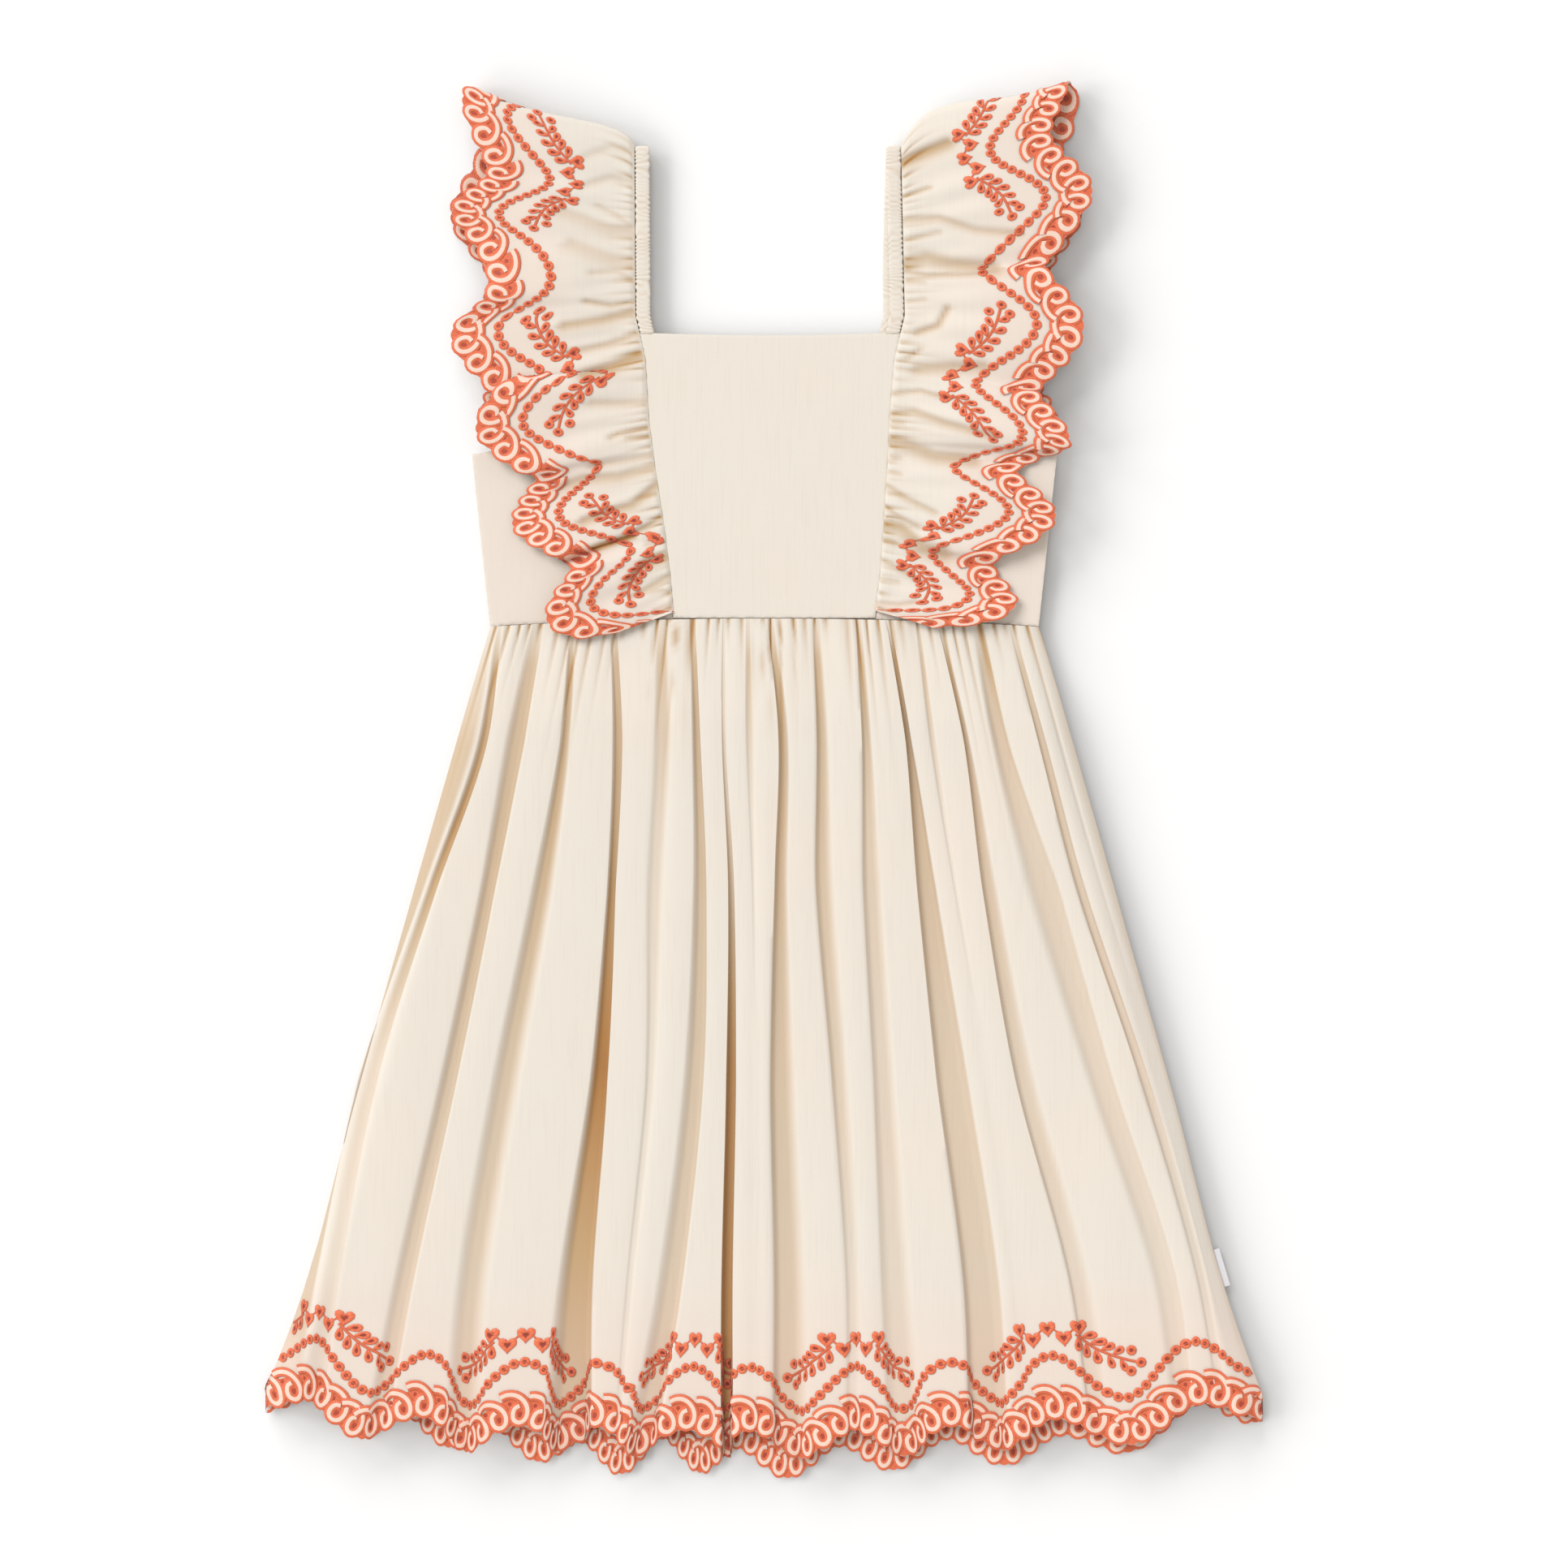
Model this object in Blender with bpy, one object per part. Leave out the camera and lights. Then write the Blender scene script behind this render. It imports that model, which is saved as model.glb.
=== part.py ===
"""A child's sleeveless cotton dress with shoulder ruffles, laid flat on its back.

Every length below is in millimetres and becomes metres where a mesh is made. X runs across the
dress, Y from hem to shoulders and Z up from the surface it lies on. The origin is under the
middle of the outline.
"""
import math
from functools import lru_cache

import bpy
import numpy as np
from mathutils import Vector

MILLIMETRE = 0.001

# Cloth and seams
WALL = 1.0
BIB_WALL = 1.4
SEAM_GAP = 0.3
# A wall measured straight down grows with the slope only until the normal's height is this
STEEPEST_NORMAL = 0.45

# Bodice
WAIST_SIDE_Y = 76.0
WAIST_CENTRE_Y = 80.0
WAIST_HALF_WIDTH = 135.0
UNDERARM_Y = 161.0
UNDERARM_HALF_WIDTH = 144.0
BIB_TOP_Y = 220.0
BIB_CORNER_Y = 208.0
BACK_TOP_Y = 212.0
ARMHOLE_CURVE = 1.7
NECK_SHARE = 0.5
BODICE_BACK_TOP_Z = 2.3
SIDE_PANEL_TOP_Z = 3.6
BIB_TOP_Z = 4.6
BIB_PUFF = 0.6

# Skirt
HEM_HALF_WIDTH = 245.0
HEM_CENTRE_Y = -319.5
HEM_SIDE_RISE = 16.0
HEM_RISE_AT = 235.0
SKIRT_LENGTH = WAIST_CENTRE_Y - HEM_CENTRE_Y
SKIRT_SIDE_Z = 2.7
SKIRT_SIDE_UNDER_Z = 1.5
SKIRT_SIDE_UNDER_REACH = 12.0
SKIRT_TROUGH_Z = 4.2
SIDE_ROLL = 14.0
BAND_CROWN = 0.5
BACK_FOLD_COUNT = 14
BACK_FOLD_HEIGHT = 1.4
BACK_FOLD_WIDTH = 9.0
BACK_FOLD_SHIFT = 0.2
BACK_FOLD_SHIFT_STEP = 2.4
BACK_FOLD_WAIST_SHARE = 0.4
WAIST_GATHER_HEIGHT = 0.8
WAIST_GATHER_REACH = 0.11

# Cut of the embroidered edge: a long wave of small loops
WAVE_LENGTH = 68.0
WAVE_HEIGHT = 7.0
LOOP_PITCH = WAVE_LENGTH / 7
LOOP_REACH = 6.5
NOTCH_DEPTH = 2.0
POINTS_PER_LOOP = 3

# Ruffles and straps
RUFFLE_SEAM_Z = 4.9
RUFFLE_TURN_Z = 3.4
RUFFLE_BACK_Z = 0.0
RUFFLE_GATHER_HEIGHT = 1.3
RUFFLE_GATHER_REACH = 0.59
SAMPLES_PER_RIB = 8
EDGE_MARGIN = 12.0
STRAP_WIDTH = 7.0
STRAP_THICKNESS = 1.6
STRAP_FRONT_Z = 4.9
STRAP_BACK_Z = 2.9
STRAP_TOP_Y = 312.5
STRAP_RIB = 0.35
STRAP_RIBS = 12
STRAP_TURN_STEPS = 6

# Side label
LABEL_SIZE = (8.0, 19.0, 1.0)
LABEL_TOP_Y = -231.0
SIDE_STEPS = 100

CLOTH_COLOUR = (0.88, 0.81, 0.72, 1)
RUFFLE_COLOUR = (0.88, 0.78, 0.70, 1)
LABEL_COLOUR = (0.92, 0.92, 0.91, 1)

# Half the skirt's width at shares of its length, from waist to hem
SIDE_ROWS = (0.0, 0.1, 0.35, 0.61, 0.8, 0.9, 1.0)
SIDE_HALVES = (WAIST_HALF_WIDTH, 146.6, 174.3, 202.2, 220.4, 231.8, HEM_HALF_WIDTH)

# Height of the bands at shares of the skirt's length
LEVEL_ROWS = (0.0, 0.12, 1.0)
LEVELS = (4.2, 8.8, 9.8)

# Shares of the skirt's length at which the fold table gives place, width and depth
PLACE_ROWS = (0.0, 0.15, 0.33, 0.57, 0.82, 1.0)
WIDTH_ROWS = (0.0, 0.15, 0.33, 0.57, 1.0)
DEPTH_ROWS = (0.0, 0.12, 0.5, 1.0)
WAIST_DEPTH_SHARE = 0.12
WAIST_WIDTH_SHARE = 0.7
FOLD_DEPTH_SHARE = 0.62

# Troughs between the flat bands of the skirt front, left to right.
# place: middle at the six rows; width: at the last four of five rows; depth: hip, knee, hem;
# slope: share of the width that the left and the right wall take
SKIRT_FOLDS = (
    # place                                       width               depth              slope
    ((-130.8, -139.2, -163.6, -194, -213, -222), (5.6, 6, 10, 12), (5.0, 4.0, 1.5), (0.60, 0.30)),
    ((-112, -123.2, -136.4, -155.6, -176.8, -190), (9, 6, 7.6, 10.4), (4.5, 5.0, 3.0), (0.50, 0.25)),
    ((-94, -98, -108.8, -126.8, -143, -148), (5.6, 11.6, 15.6, 14), (4.5, 5.0, 3.5), (0.40, 0.45)),
    ((-74.5, -72.3, -75.2, -81.6, -93.2, -97), (5.2, 4.4, 9.2, 25), (6.0, 7.0, 7.0), (0.40, 0.12)),
    ((-50.8, -50, -53.6, -56, -66, -72), (10, 10, 6, 4), (2.5, 2.5, 0.4), (0.35, 0.35)),
    ((-35.6, -33.6, -32, -35.2, -49.2, -60), (4.4, 7.2, 10.8, 12), (4.0, 5.0, 4.5), (0.50, 0.15)),
    ((-20, -20, -16.4, -16.4, -18.4, -18.4), (5.2, 4.6, 5.2, 6.4), (6.0, 8.0, 8.0), (0.14, 0.14)),
    ((-8, -7.2, -5, -4, -4, -4), (4.8, 3, 3, 3), (2.5, 0.0, 0.0), (0.40, 0.40)),
    ((3.2, 9.6, 8.4, 8.8, 12.4, 13.6), (5.6, 6, 12, 18), (4.5, 5.0, 4.0), (0.20, 0.45)),
    ((25.6, 28.8, 30, 39.6, 44, 44), (6.4, 10, 10.8, 8), (4.0, 4.0, 1.0), (0.30, 0.50)),
    ((46.4, 50.4, 53.2, 59.2, 65.2, 70), (5.2, 10.4, 12, 20), (3.5, 3.5, 2.5), (0.30, 0.40)),
    ((60.8, 70.8, 79.6, 92.4, 106.4, 110), (3, 9.6, 16, 20), (5.5, 5.5, 5.0), (0.15, 0.30)),
    ((75.2, 82.8, 94, 110, 124, 130), (4, 3, 3, 3), (2.5, 0.0, 0.0), (0.40, 0.40)),
    ((86, 99.6, 110.8, 130.8, 154.8, 165), (3.2, 8, 10.8, 12), (4.0, 5.0, 2.0), (0.15, 0.45)),
    ((104.4, 116, 136.4, 164.4, 195.2, 205), (9, 18, 14, 12), (5.0, 4.5, 2.5), (0.40, 0.30)),
    ((121.2, 136.8, 155.2, 186, 213, 225), (4, 4.8, 4.8, 5), (3.0, 4.0, 1.0), (0.30, 0.30)),
    ((130, 146, 166, 194, 218.5, 237), (3, 3, 3, 3), (2.0, 0.0, 0.0), (0.40, 0.40)),
)

# Where the crests of the edge's wave show along the front and the back hem, folds and all
CREST_PLACES = (-224, -167.6, -120.4, -83.4, -38.4, -6.8, 44.8, 92.2, 143.2, 214)
BACK_CREST_PLACES = (-222, -178, -134, -90, -50, -14, 37, 90, 146, 214)
BACK_SIDE_SLOPE = 1.2

# How far both hems lie below their smooth line, by place across
FRONT_DROP_PLACES = (-245, -226, -206, -169, -141, -101, 143, 180, 214, 245)
FRONT_DROPS = (-4, -0.5, 1.6, 1.2, 3.4, 0, 0, 2.3, 0, 0)
BACK_DROP_PLACES = (-245, -222, -178, -156, -110, -76, -50, -25, 8, 66, 107, 146, 178, 214, 245)
BACK_DROPS = (-4, 0, 2, 2.7, 6.3, 11.3, 5.5, 9.4, 10.8, 7.7, 7.7, 9.8, 7.6, 1.5, 0)

# Seam of each ruffle beside strap and bib, by height: y, x of the left one, x of the right one
RUFFLE_SEAM = (
    (80, -44.5, 54),
    (102, -46.5, 57),
    (126, -49.5, 58.5),
    (155, -54, 60.5),
    (179, -57, 61.5),
    (208, -58.7, 64),
    (229, -63.5, 69),
    (320, -64, 67),
)

# Ribs of the ruffle from shoulder to front waist: y at the seam, place and height of the outer
# edge, height at half width, and length along the outer edge of the flat cloth
LEFT_FRONT_RIBS = (
    # seam_y, edge_x, edge_y, edge_z, mid_z, flat
    (311, -141.5, 338, 7.0, 8.0, 450),
    (302, -141, 325, 9.0, 9.0, 434),
    (290, -142, 303, 8.0, 9.0, 412),
    (278, -146, 284, 7.0, 9.0, 382),
    (266, -144.5, 268, 6.5, 9.0, 358),
    (254, -143, 251, 8.0, 10.0, 342),
    (244, -140, 238, 10.0, 10.0, 330),
    (236, -141, 231, 7.5, 8.0, 318),
    (230, -146, 224, 5.5, 8.0, 310),
    (221, -146, 212, 5.5, 7.0, 298),
    (213, -143, 199, 5.5, 6.5, 285),
    (207, -138, 189, 6.0, 7.0, 275),
    (203, -126, 198, 9.5, 9.0, 262),
    (197, -131, 191, 12.5, 11.0, 254),
    (188, -134, 176, 11.0, 10.0, 240),
    (177, -132, 164, 10.0, 9.0, 226),
    (167, -125, 151, 10.5, 10.0, 212),
    (162, -118, 148, 8.0, 8.0, 204),
    (155, -120, 143, 5.8, 7.0, 196),
    (145, -117, 132, 6.0, 7.0, 176),
    (134, -115, 120, 8.0, 8.0, 158),
    (126, -109, 109, 11.5, 9.0, 142),
    (121, -102, 105, 6.0, 6.0, 136),
    (116, -101, 100, 11.0, 9.0, 130),
    (109, -101, 92, 11.0, 9.0, 116),
    (100, -99, 80, 11.0, 8.5, 100),
    (91, -90, 71, 10.0, 8.5, 86),
    (83, -77, 71, 9.5, 8.0, 74),
)
RIGHT_FRONT_RIBS = (
    # seam_y, edge_x, edge_y, edge_z, mid_z, flat
    (310, 142, 339, 7.0, 8.0, 438),
    (301, 144, 326, 9.0, 9.0, 420),
    (291, 149, 311, 9.0, 9.0, 400),
    (280, 153, 294, 8.0, 9.0, 380),
    (269, 153, 279, 7.5, 9.0, 362),
    (259, 150, 265, 6.5, 8.0, 350),
    (252, 146, 256, 5.8, 7.0, 342),
    (247, 143, 252, 9.0, 9.0, 334),
    (241, 146, 243, 11.0, 10.0, 326),
    (229, 149, 226, 10.0, 10.0, 308),
    (219, 148, 211, 9.0, 10.0, 294),
    (209, 146, 199, 7.0, 8.0, 280),
    (203, 142, 192, 6.0, 7.0, 272),
    (197, 139, 189, 9.5, 9.0, 264),
    (188, 140, 179, 11.5, 10.0, 250),
    (177, 142, 169, 12.5, 11.0, 236),
    (171, 144, 163, 11.0, 10.0, 226),
    (166, 140, 160, 6.5, 7.0, 218),
    (161, 135, 155, 5.6, 6.5, 208),
    (155, 130, 151, 9.0, 9.0, 200),
    (146, 134, 140, 11.0, 10.0, 184),
    (135, 135, 127, 11.0, 10.0, 164),
    (126, 130, 115, 12.0, 10.0, 148),
    (120, 122, 109, 11.0, 9.0, 138),
    (115, 118, 104, 6.0, 6.5, 130),
    (107, 118, 96, 6.5, 7.0, 118),
    (99, 116, 88, 9.0, 8.0, 104),
    (92, 106, 79, 12.0, 8.5, 90),
    (84, 87, 74, 9.5, 8.0, 76),
)

# Rise of the ruffle over the shoulder: share of the way out, left and right
SHOULDER_RISE = (
    (0.0, 0, 0),
    (0.04, 3.4, 4.5),
    (0.11, 4.8, 9.1),
    (0.21, 4.8, 12),
    (0.37, 3, 10.9),
    (0.55, 0.6, 6.8),
    (0.8, -1.6, 2.2),
    (1.0, 0, 0),
)
SHOULDER_REACH = 4.0
SHOULDER_FADE = 1.5

# The same strip behind, from the shoulder fold to the back waist, pressed flat. Its outer face
# looks down there, so that heights are those of the side that lies on the surface.
LEFT_BACK_RIBS = (
    # seam_y, edge_x, edge_y, edge_z, mid_z, flat
    (312.5, -142.5, 340.5, 4.2, 4.2, 456),
    (310, -143, 336, 0.2, 0.6, 461),
    (296, -145, 318, 0.0, 0.6, 478),
    (279, -147, 296, 0.0, 0.6, 492),
    (262, -147, 276, 0.0, 0.6, 510),
    (246, -142, 254, 0.0, 0.4, 534),
    (224, -141, 227, 0.0, 0.0, 570),
    (196, -138, 196, 0.0, 0.0, 620),
    (168, -128, 166, 0.0, 0.0, 660),
    (140, -118, 136, 0.0, 0.0, 700),
    (112, -108, 108, 0.0, 0.0, 738),
    (86, -98, 82, 0.0, 0.0, 772),
)
RIGHT_BACK_RIBS = (
    # seam_y, edge_x, edge_y, edge_z, mid_z, flat
    (312.5, 143.5, 341.5, 4.2, 4.2, 444),
    (310, 147, 337, 0.2, 0.6, 447),
    (296, 150, 322, 0.0, 0.6, 457),
    (279, 150, 302, 0.0, 0.6, 477),
    (260, 149, 280, 0.0, 0.6, 506),
    (242, 147, 258, 0.0, 0.4, 534),
    (222, 146, 232, 0.0, 0.0, 568),
    (196, 142, 200, 0.0, 0.0, 612),
    (168, 134, 168, 0.0, 0.0, 654),
    (140, 126, 138, 0.0, 0.0, 694),
    (112, 118, 108, 0.0, 0.0, 732),
    (86, 108, 82, 0.0, 0.0, 766),
)


def clear_scene():
    for old in list(bpy.data.objects):
        bpy.data.objects.remove(old, do_unlink=True)


def smooth_curve(rows, values, place):
    """Value at one place of a smooth curve through the values at the rows."""
    last = len(rows) - 1
    part = min(max(int(np.searchsorted(rows, place, side="right")) - 1, 0), last - 1)
    slopes = []
    for k in (part, part + 1):
        before, after = max(k - 1, 0), min(k + 1, last)
        slopes.append((values[after] - values[before]) / (rows[after] - rows[before]))
    span = rows[part + 1] - rows[part]
    t = (place - rows[part]) / span
    return (
        (2 * t**3 - 3 * t**2 + 1) * values[part]
        + (t**3 - 2 * t**2 + t) * span * slopes[0]
        + (3 * t**2 - 2 * t**3) * values[part + 1]
        + (t**3 - t**2) * span * slopes[1]
    )


def ease(t):
    return (1 - math.cos(math.pi * t)) / 2


def mix(a, b, t):
    return a + (b - a) * t


def edge_wave(flat):
    """How far the embroidered edge is drawn in towards the cloth."""
    return WAVE_HEIGHT * math.cos(2 * math.pi * flat / WAVE_LENGTH)


def edge_notch(flat):
    """How far the outline is drawn in between two loops."""
    return NOTCH_DEPTH * (1 - abs(math.sin(math.pi * flat / LOOP_PITCH)))


def half_width(v):
    return smooth_curve(SIDE_ROWS, SIDE_HALVES, min(v, 1))


def waist_y(x):
    return mix(WAIST_CENTRE_Y, WAIST_SIDE_Y, min(1, abs(x) / WAIST_HALF_WIDTH) ** 2)


def hem_y(x):
    """Smooth line that both hems follow."""
    return HEM_CENTRE_Y + HEM_SIDE_RISE * (x / HEM_RISE_AT) ** 2


def front_hem_y(x):
    return hem_y(x) - float(np.interp(x, FRONT_DROP_PLACES, FRONT_DROPS))


def back_hem_y(x):
    return hem_y(x) - float(np.interp(x, BACK_DROP_PLACES, BACK_DROPS))


@lru_cache(maxsize=None)
def skirt_section(v):
    """Stations across the skirt front at one share of its length: places and drops.

    Four segments to a fold: a band, the wall down, the trough's floor and the wall up.
    """
    half = half_width(v)
    places = [-half]
    drops = [0.0]
    for place, width, depth, slope in SKIRT_FOLDS:
        middle = smooth_curve(PLACE_ROWS, place, v)
        wide = np.interp(v, WIDTH_ROWS, (WAIST_WIDTH_SHARE * width[0],) + width)
        deep = np.interp(v, DEPTH_ROWS, (WAIST_DEPTH_SHARE * depth[0],) + depth)
        deep *= FOLD_DEPTH_SHARE
        left = middle - wide / 2
        right = middle + wide / 2
        places += [left, left + wide * slope[0], right - wide * slope[1], right]
        drops += [0.0, deep, deep, 0.0]
    places.append(half)
    drops.append(0.0)
    return places, drops


def side_clearance(x, half):
    """Lowest the underside of the skirt front may lie above the back."""
    inward = min(1, max(0, (half - abs(x)) / SKIRT_SIDE_UNDER_REACH))
    return mix(SKIRT_SIDE_UNDER_Z, SKIRT_TROUGH_Z - WALL, inward)


def skirt_point(q, v):
    """Point of the skirt front: q counts stations across, v runs from waist to hem."""
    places, drops = skirt_section(v)
    part = min(int(q), len(places) - 2)
    t = q - part
    on_band = part % 4 == 0
    x = mix(places[part], places[part + 1], t)
    drop = mix(drops[part], drops[part + 1], ease(t))
    crown = BAND_CROWN * math.sin(math.pi * t) if on_band else 0.0
    half = half_width(v)
    rise = math.sin(math.pi / 2 * min(1, max(0, (half - abs(x)) / SIDE_ROLL)))
    level = np.interp(v, LEVEL_ROWS, LEVELS)
    z = SKIRT_SIDE_Z + rise * (level + crown - drop - SKIRT_SIDE_Z)
    z = max(z, side_clearance(x, half) + WALL)
    y = mix(waist_y(x), front_hem_y(x), v)
    return Vector((x, y, z))


def hem_share(q, height):
    """Share of the length at a height above the hem line, along station q."""
    low = skirt_point(q, 1.0)
    return 1 - height / (waist_y(low.x) - low.y)


def hem_stations():
    """Flat length along the front hem at each station, with the wave's crests at their places.

    The bands lie flat, so what the cloth is longer than it shows is taken up by the walls.
    """
    places, drops = skirt_section(1.0)
    band = [0.0]
    wall = [0.0]
    for k in range(len(places) - 1):
        across = places[k + 1] - places[k]
        is_wall = k % 2 == 1
        band.append(band[-1] + (0 if is_wall else across))
        wall.append(wall[-1] + (math.hypot(across, drops[k + 1] - drops[k]) if is_wall else 0))
    band_at = [np.interp(x, places, band) for x in CREST_PLACES]
    wall_at = [np.interp(x, places, wall) for x in CREST_PLACES]
    flats = []
    for k, x in enumerate(places):
        part = min(max(int(np.searchsorted(CREST_PLACES, x)) - 1, 0), len(CREST_PLACES) - 2)
        hidden = WAVE_LENGTH - (band_at[part + 1] - band_at[part])
        stretch = hidden / (wall_at[part + 1] - wall_at[part])
        flat = WAVE_LENGTH * part + (band[k] - band_at[part]) + stretch * (wall[k] - wall_at[part])
        flats.append(flat)
    return flats


def rib_tables(front, back):
    """One strip of ribs from front waist over the shoulder to back waist."""
    return tuple(reversed(front)) + back


def ruffle_seam_x(side, y):
    rows = [row[0] for row in RUFFLE_SEAM]
    column = 1 if side < 0 else 2
    return float(np.interp(y, rows, [row[column] for row in RUFFLE_SEAM]))


def ruffle_frame(ribs, turn, side, u):
    """Seam point, middle height and outer edge of the ruffle at rib place u."""
    rows = range(len(ribs))
    seam_y, edge_x, edge_y, edge_z, mid_z, _ = (
        smooth_curve(rows, [rib[c] for rib in ribs], u) for c in range(6)
    )
    seam_z = np.interp(u, (turn - 1, turn, turn + 1), (RUFFLE_SEAM_Z, RUFFLE_TURN_Z, RUFFLE_BACK_Z))
    seam = Vector((ruffle_seam_x(side, seam_y), seam_y, float(seam_z)))
    return seam, mid_z, Vector((edge_x, edge_y, edge_z))


def shoulder_rise(side, v):
    column = 1 if side < 0 else 2
    return smooth_curve([row[0] for row in SHOULDER_RISE], [row[column] for row in SHOULDER_RISE], v)


def ruffle_point(ribs, turn, side, u, v):
    """Point of a ruffle: u counts ribs from the front waist, v runs from seam to outer edge."""
    seam, mid_z, edge = ruffle_frame(ribs, turn, side, u)
    point = seam.lerp(edge, v)
    bow = 2 * mid_z - (seam.z + edge.z) / 2
    v_in = min(v, 1)
    point.z = (1 - v_in) ** 2 * seam.z + 2 * v_in * (1 - v_in) * bow + v_in**2 * edge.z
    near_turn = max(0, 1 - abs(u - turn) / SHOULDER_REACH) ** SHOULDER_FADE
    point.y += shoulder_rise(side, v_in) * near_turn
    if u < turn:
        gather = math.sin(math.pi * u) ** 2
        fade = math.sin(math.pi * min(1, v_in / RUFFLE_GATHER_REACH))
        point.z += RUFFLE_GATHER_HEIGHT * gather * fade
        point.z = max(point.z, RUFFLE_SEAM_Z)
    else:
        point.z = max(point.z, RUFFLE_BACK_Z)
    return point


def plain_material(name, colour, roughness):
    material = bpy.data.materials.new(name)
    material.use_nodes = True
    shader = material.node_tree.nodes["Principled BSDF"]
    shader.inputs["Base Color"].default_value = colour
    shader.inputs["Roughness"].default_value = roughness
    shader.inputs["Metallic"].default_value = 0.0
    return material


def grid_faces(columns, rows):
    faces = []
    for j in range(rows - 1):
        for i in range(columns - 1):
            a = j * columns + i
            faces.append((a, a + 1, a + columns + 1, a + columns))
    return faces


def zip_faces(first, first_at, second, second_at):
    """Triangles between two rows of points that run the same way at different spacing."""
    faces = []
    i = j = 0
    while i < len(first) - 1 or j < len(second) - 1:
        step_first = j == len(second) - 1 or (
            i < len(first) - 1 and first_at[i + 1] <= second_at[j + 1]
        )
        if step_first:
            faces.append((first[i], first[i + 1], second[j]))
            i += 1
        else:
            faces.append((first[i], second[j + 1], second[j]))
            j += 1
    return faces


def make_solid(name, points, faces, wall, colour, upright=False, lowest=None, seam=0):
    """Closed solid of one cloth panel: its outer face as given, its inner one a wall within.

    The wall is measured along the surface's normal, or straight down where upright is set;
    lowest gives the height that the inner face may not go under at a point. The first points,
    as many as seam says, lie on a seam, where the wall does not lean across it.
    """
    normals = [Vector((0, 0, 0)) for _ in points]
    for face in faces:
        corners = [points[k] for k in face]
        area = Vector((0, 0, 0))
        for k in range(1, len(corners) - 1):
            area += (corners[k] - corners[0]).cross(corners[k + 1] - corners[0])
        for k in face:
            normals[k] += area
    under = []
    for k, (point, normal) in enumerate(zip(points, normals)):
        if k < seam:
            normal.x = 0
        normal = normal.normalized()
        if normal.z < 0 and upright:
            normal = -normal
        if upright:
            lower = point - Vector((0, 0, wall / max(normal.z, STEEPEST_NORMAL)))
        else:
            lower = point - normal * wall
        if lowest is not None:
            lower.z = max(lower.z, lowest(point))
        under.append(lower)
    count = len(points)
    used = {}
    for face in faces:
        for k, a in enumerate(face):
            b = face[(k + 1) % len(face)]
            used[(a, b)] = True
    rim = [(a, b) for (a, b) in used if (b, a) not in used]
    solid_faces = [tuple(face) for face in faces]
    solid_faces += [tuple(k + count for k in reversed(face)) for face in faces]
    solid_faces += [(b, a, a + count, b + count) for a, b in rim]
    mesh = bpy.data.meshes.new(name)
    metres = [tuple(c * MILLIMETRE for c in p) for p in list(points) + under]
    mesh.from_pydata(metres, [], solid_faces)
    mesh.validate()
    mesh.update()
    mesh.shade_smooth()
    mesh.set_sharp_from_angle(angle=math.radians(50))
    mesh.materials.append(plain_material(name + "_finish", colour, 0.85))
    solid = bpy.data.objects.new(name, mesh)
    bpy.context.collection.objects.link(solid)
    return solid


def faces_up(points, faces):
    """The same faces, turned so that the surface as a whole looks up."""
    total = 0.0
    for face in faces:
        a, b, c = (points[k] for k in face[:3])
        total += (b - a).cross(c - a).z
    return faces if total > 0 else [tuple(reversed(face)) for face in faces]


def make_panel(name, left, right, rows, columns, height, wall, colour):
    """Panel between two side lines, each a function from 0 at the bottom to 1 at the top."""
    points = []
    for j in range(rows):
        up = j / (rows - 1)
        (x0, y0), (x1, y1) = left(up), right(up)
        for i in range(columns):
            across = i / (columns - 1)
            puff = math.sin(math.pi * across) * math.sin(math.pi * up)
            points.append(Vector((mix(x0, x1, across), mix(y0, y1, across), height(puff))))
    faces = faces_up(points, grid_faces(columns, rows))
    return make_solid(name, points, faces, wall, colour, upright=True)


def armhole(side, reach):
    """Edge of the armhole from the underarm, at 0, to the bib's top corner, at 1."""
    x_in = ruffle_seam_x(side, BIB_CORNER_Y)
    x = mix(side * UNDERARM_HALF_WIDTH, x_in + SEAM_GAP * side, reach)
    y = mix(UNDERARM_Y, BIB_CORNER_Y, reach**ARMHOLE_CURVE)
    return x, y


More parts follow.
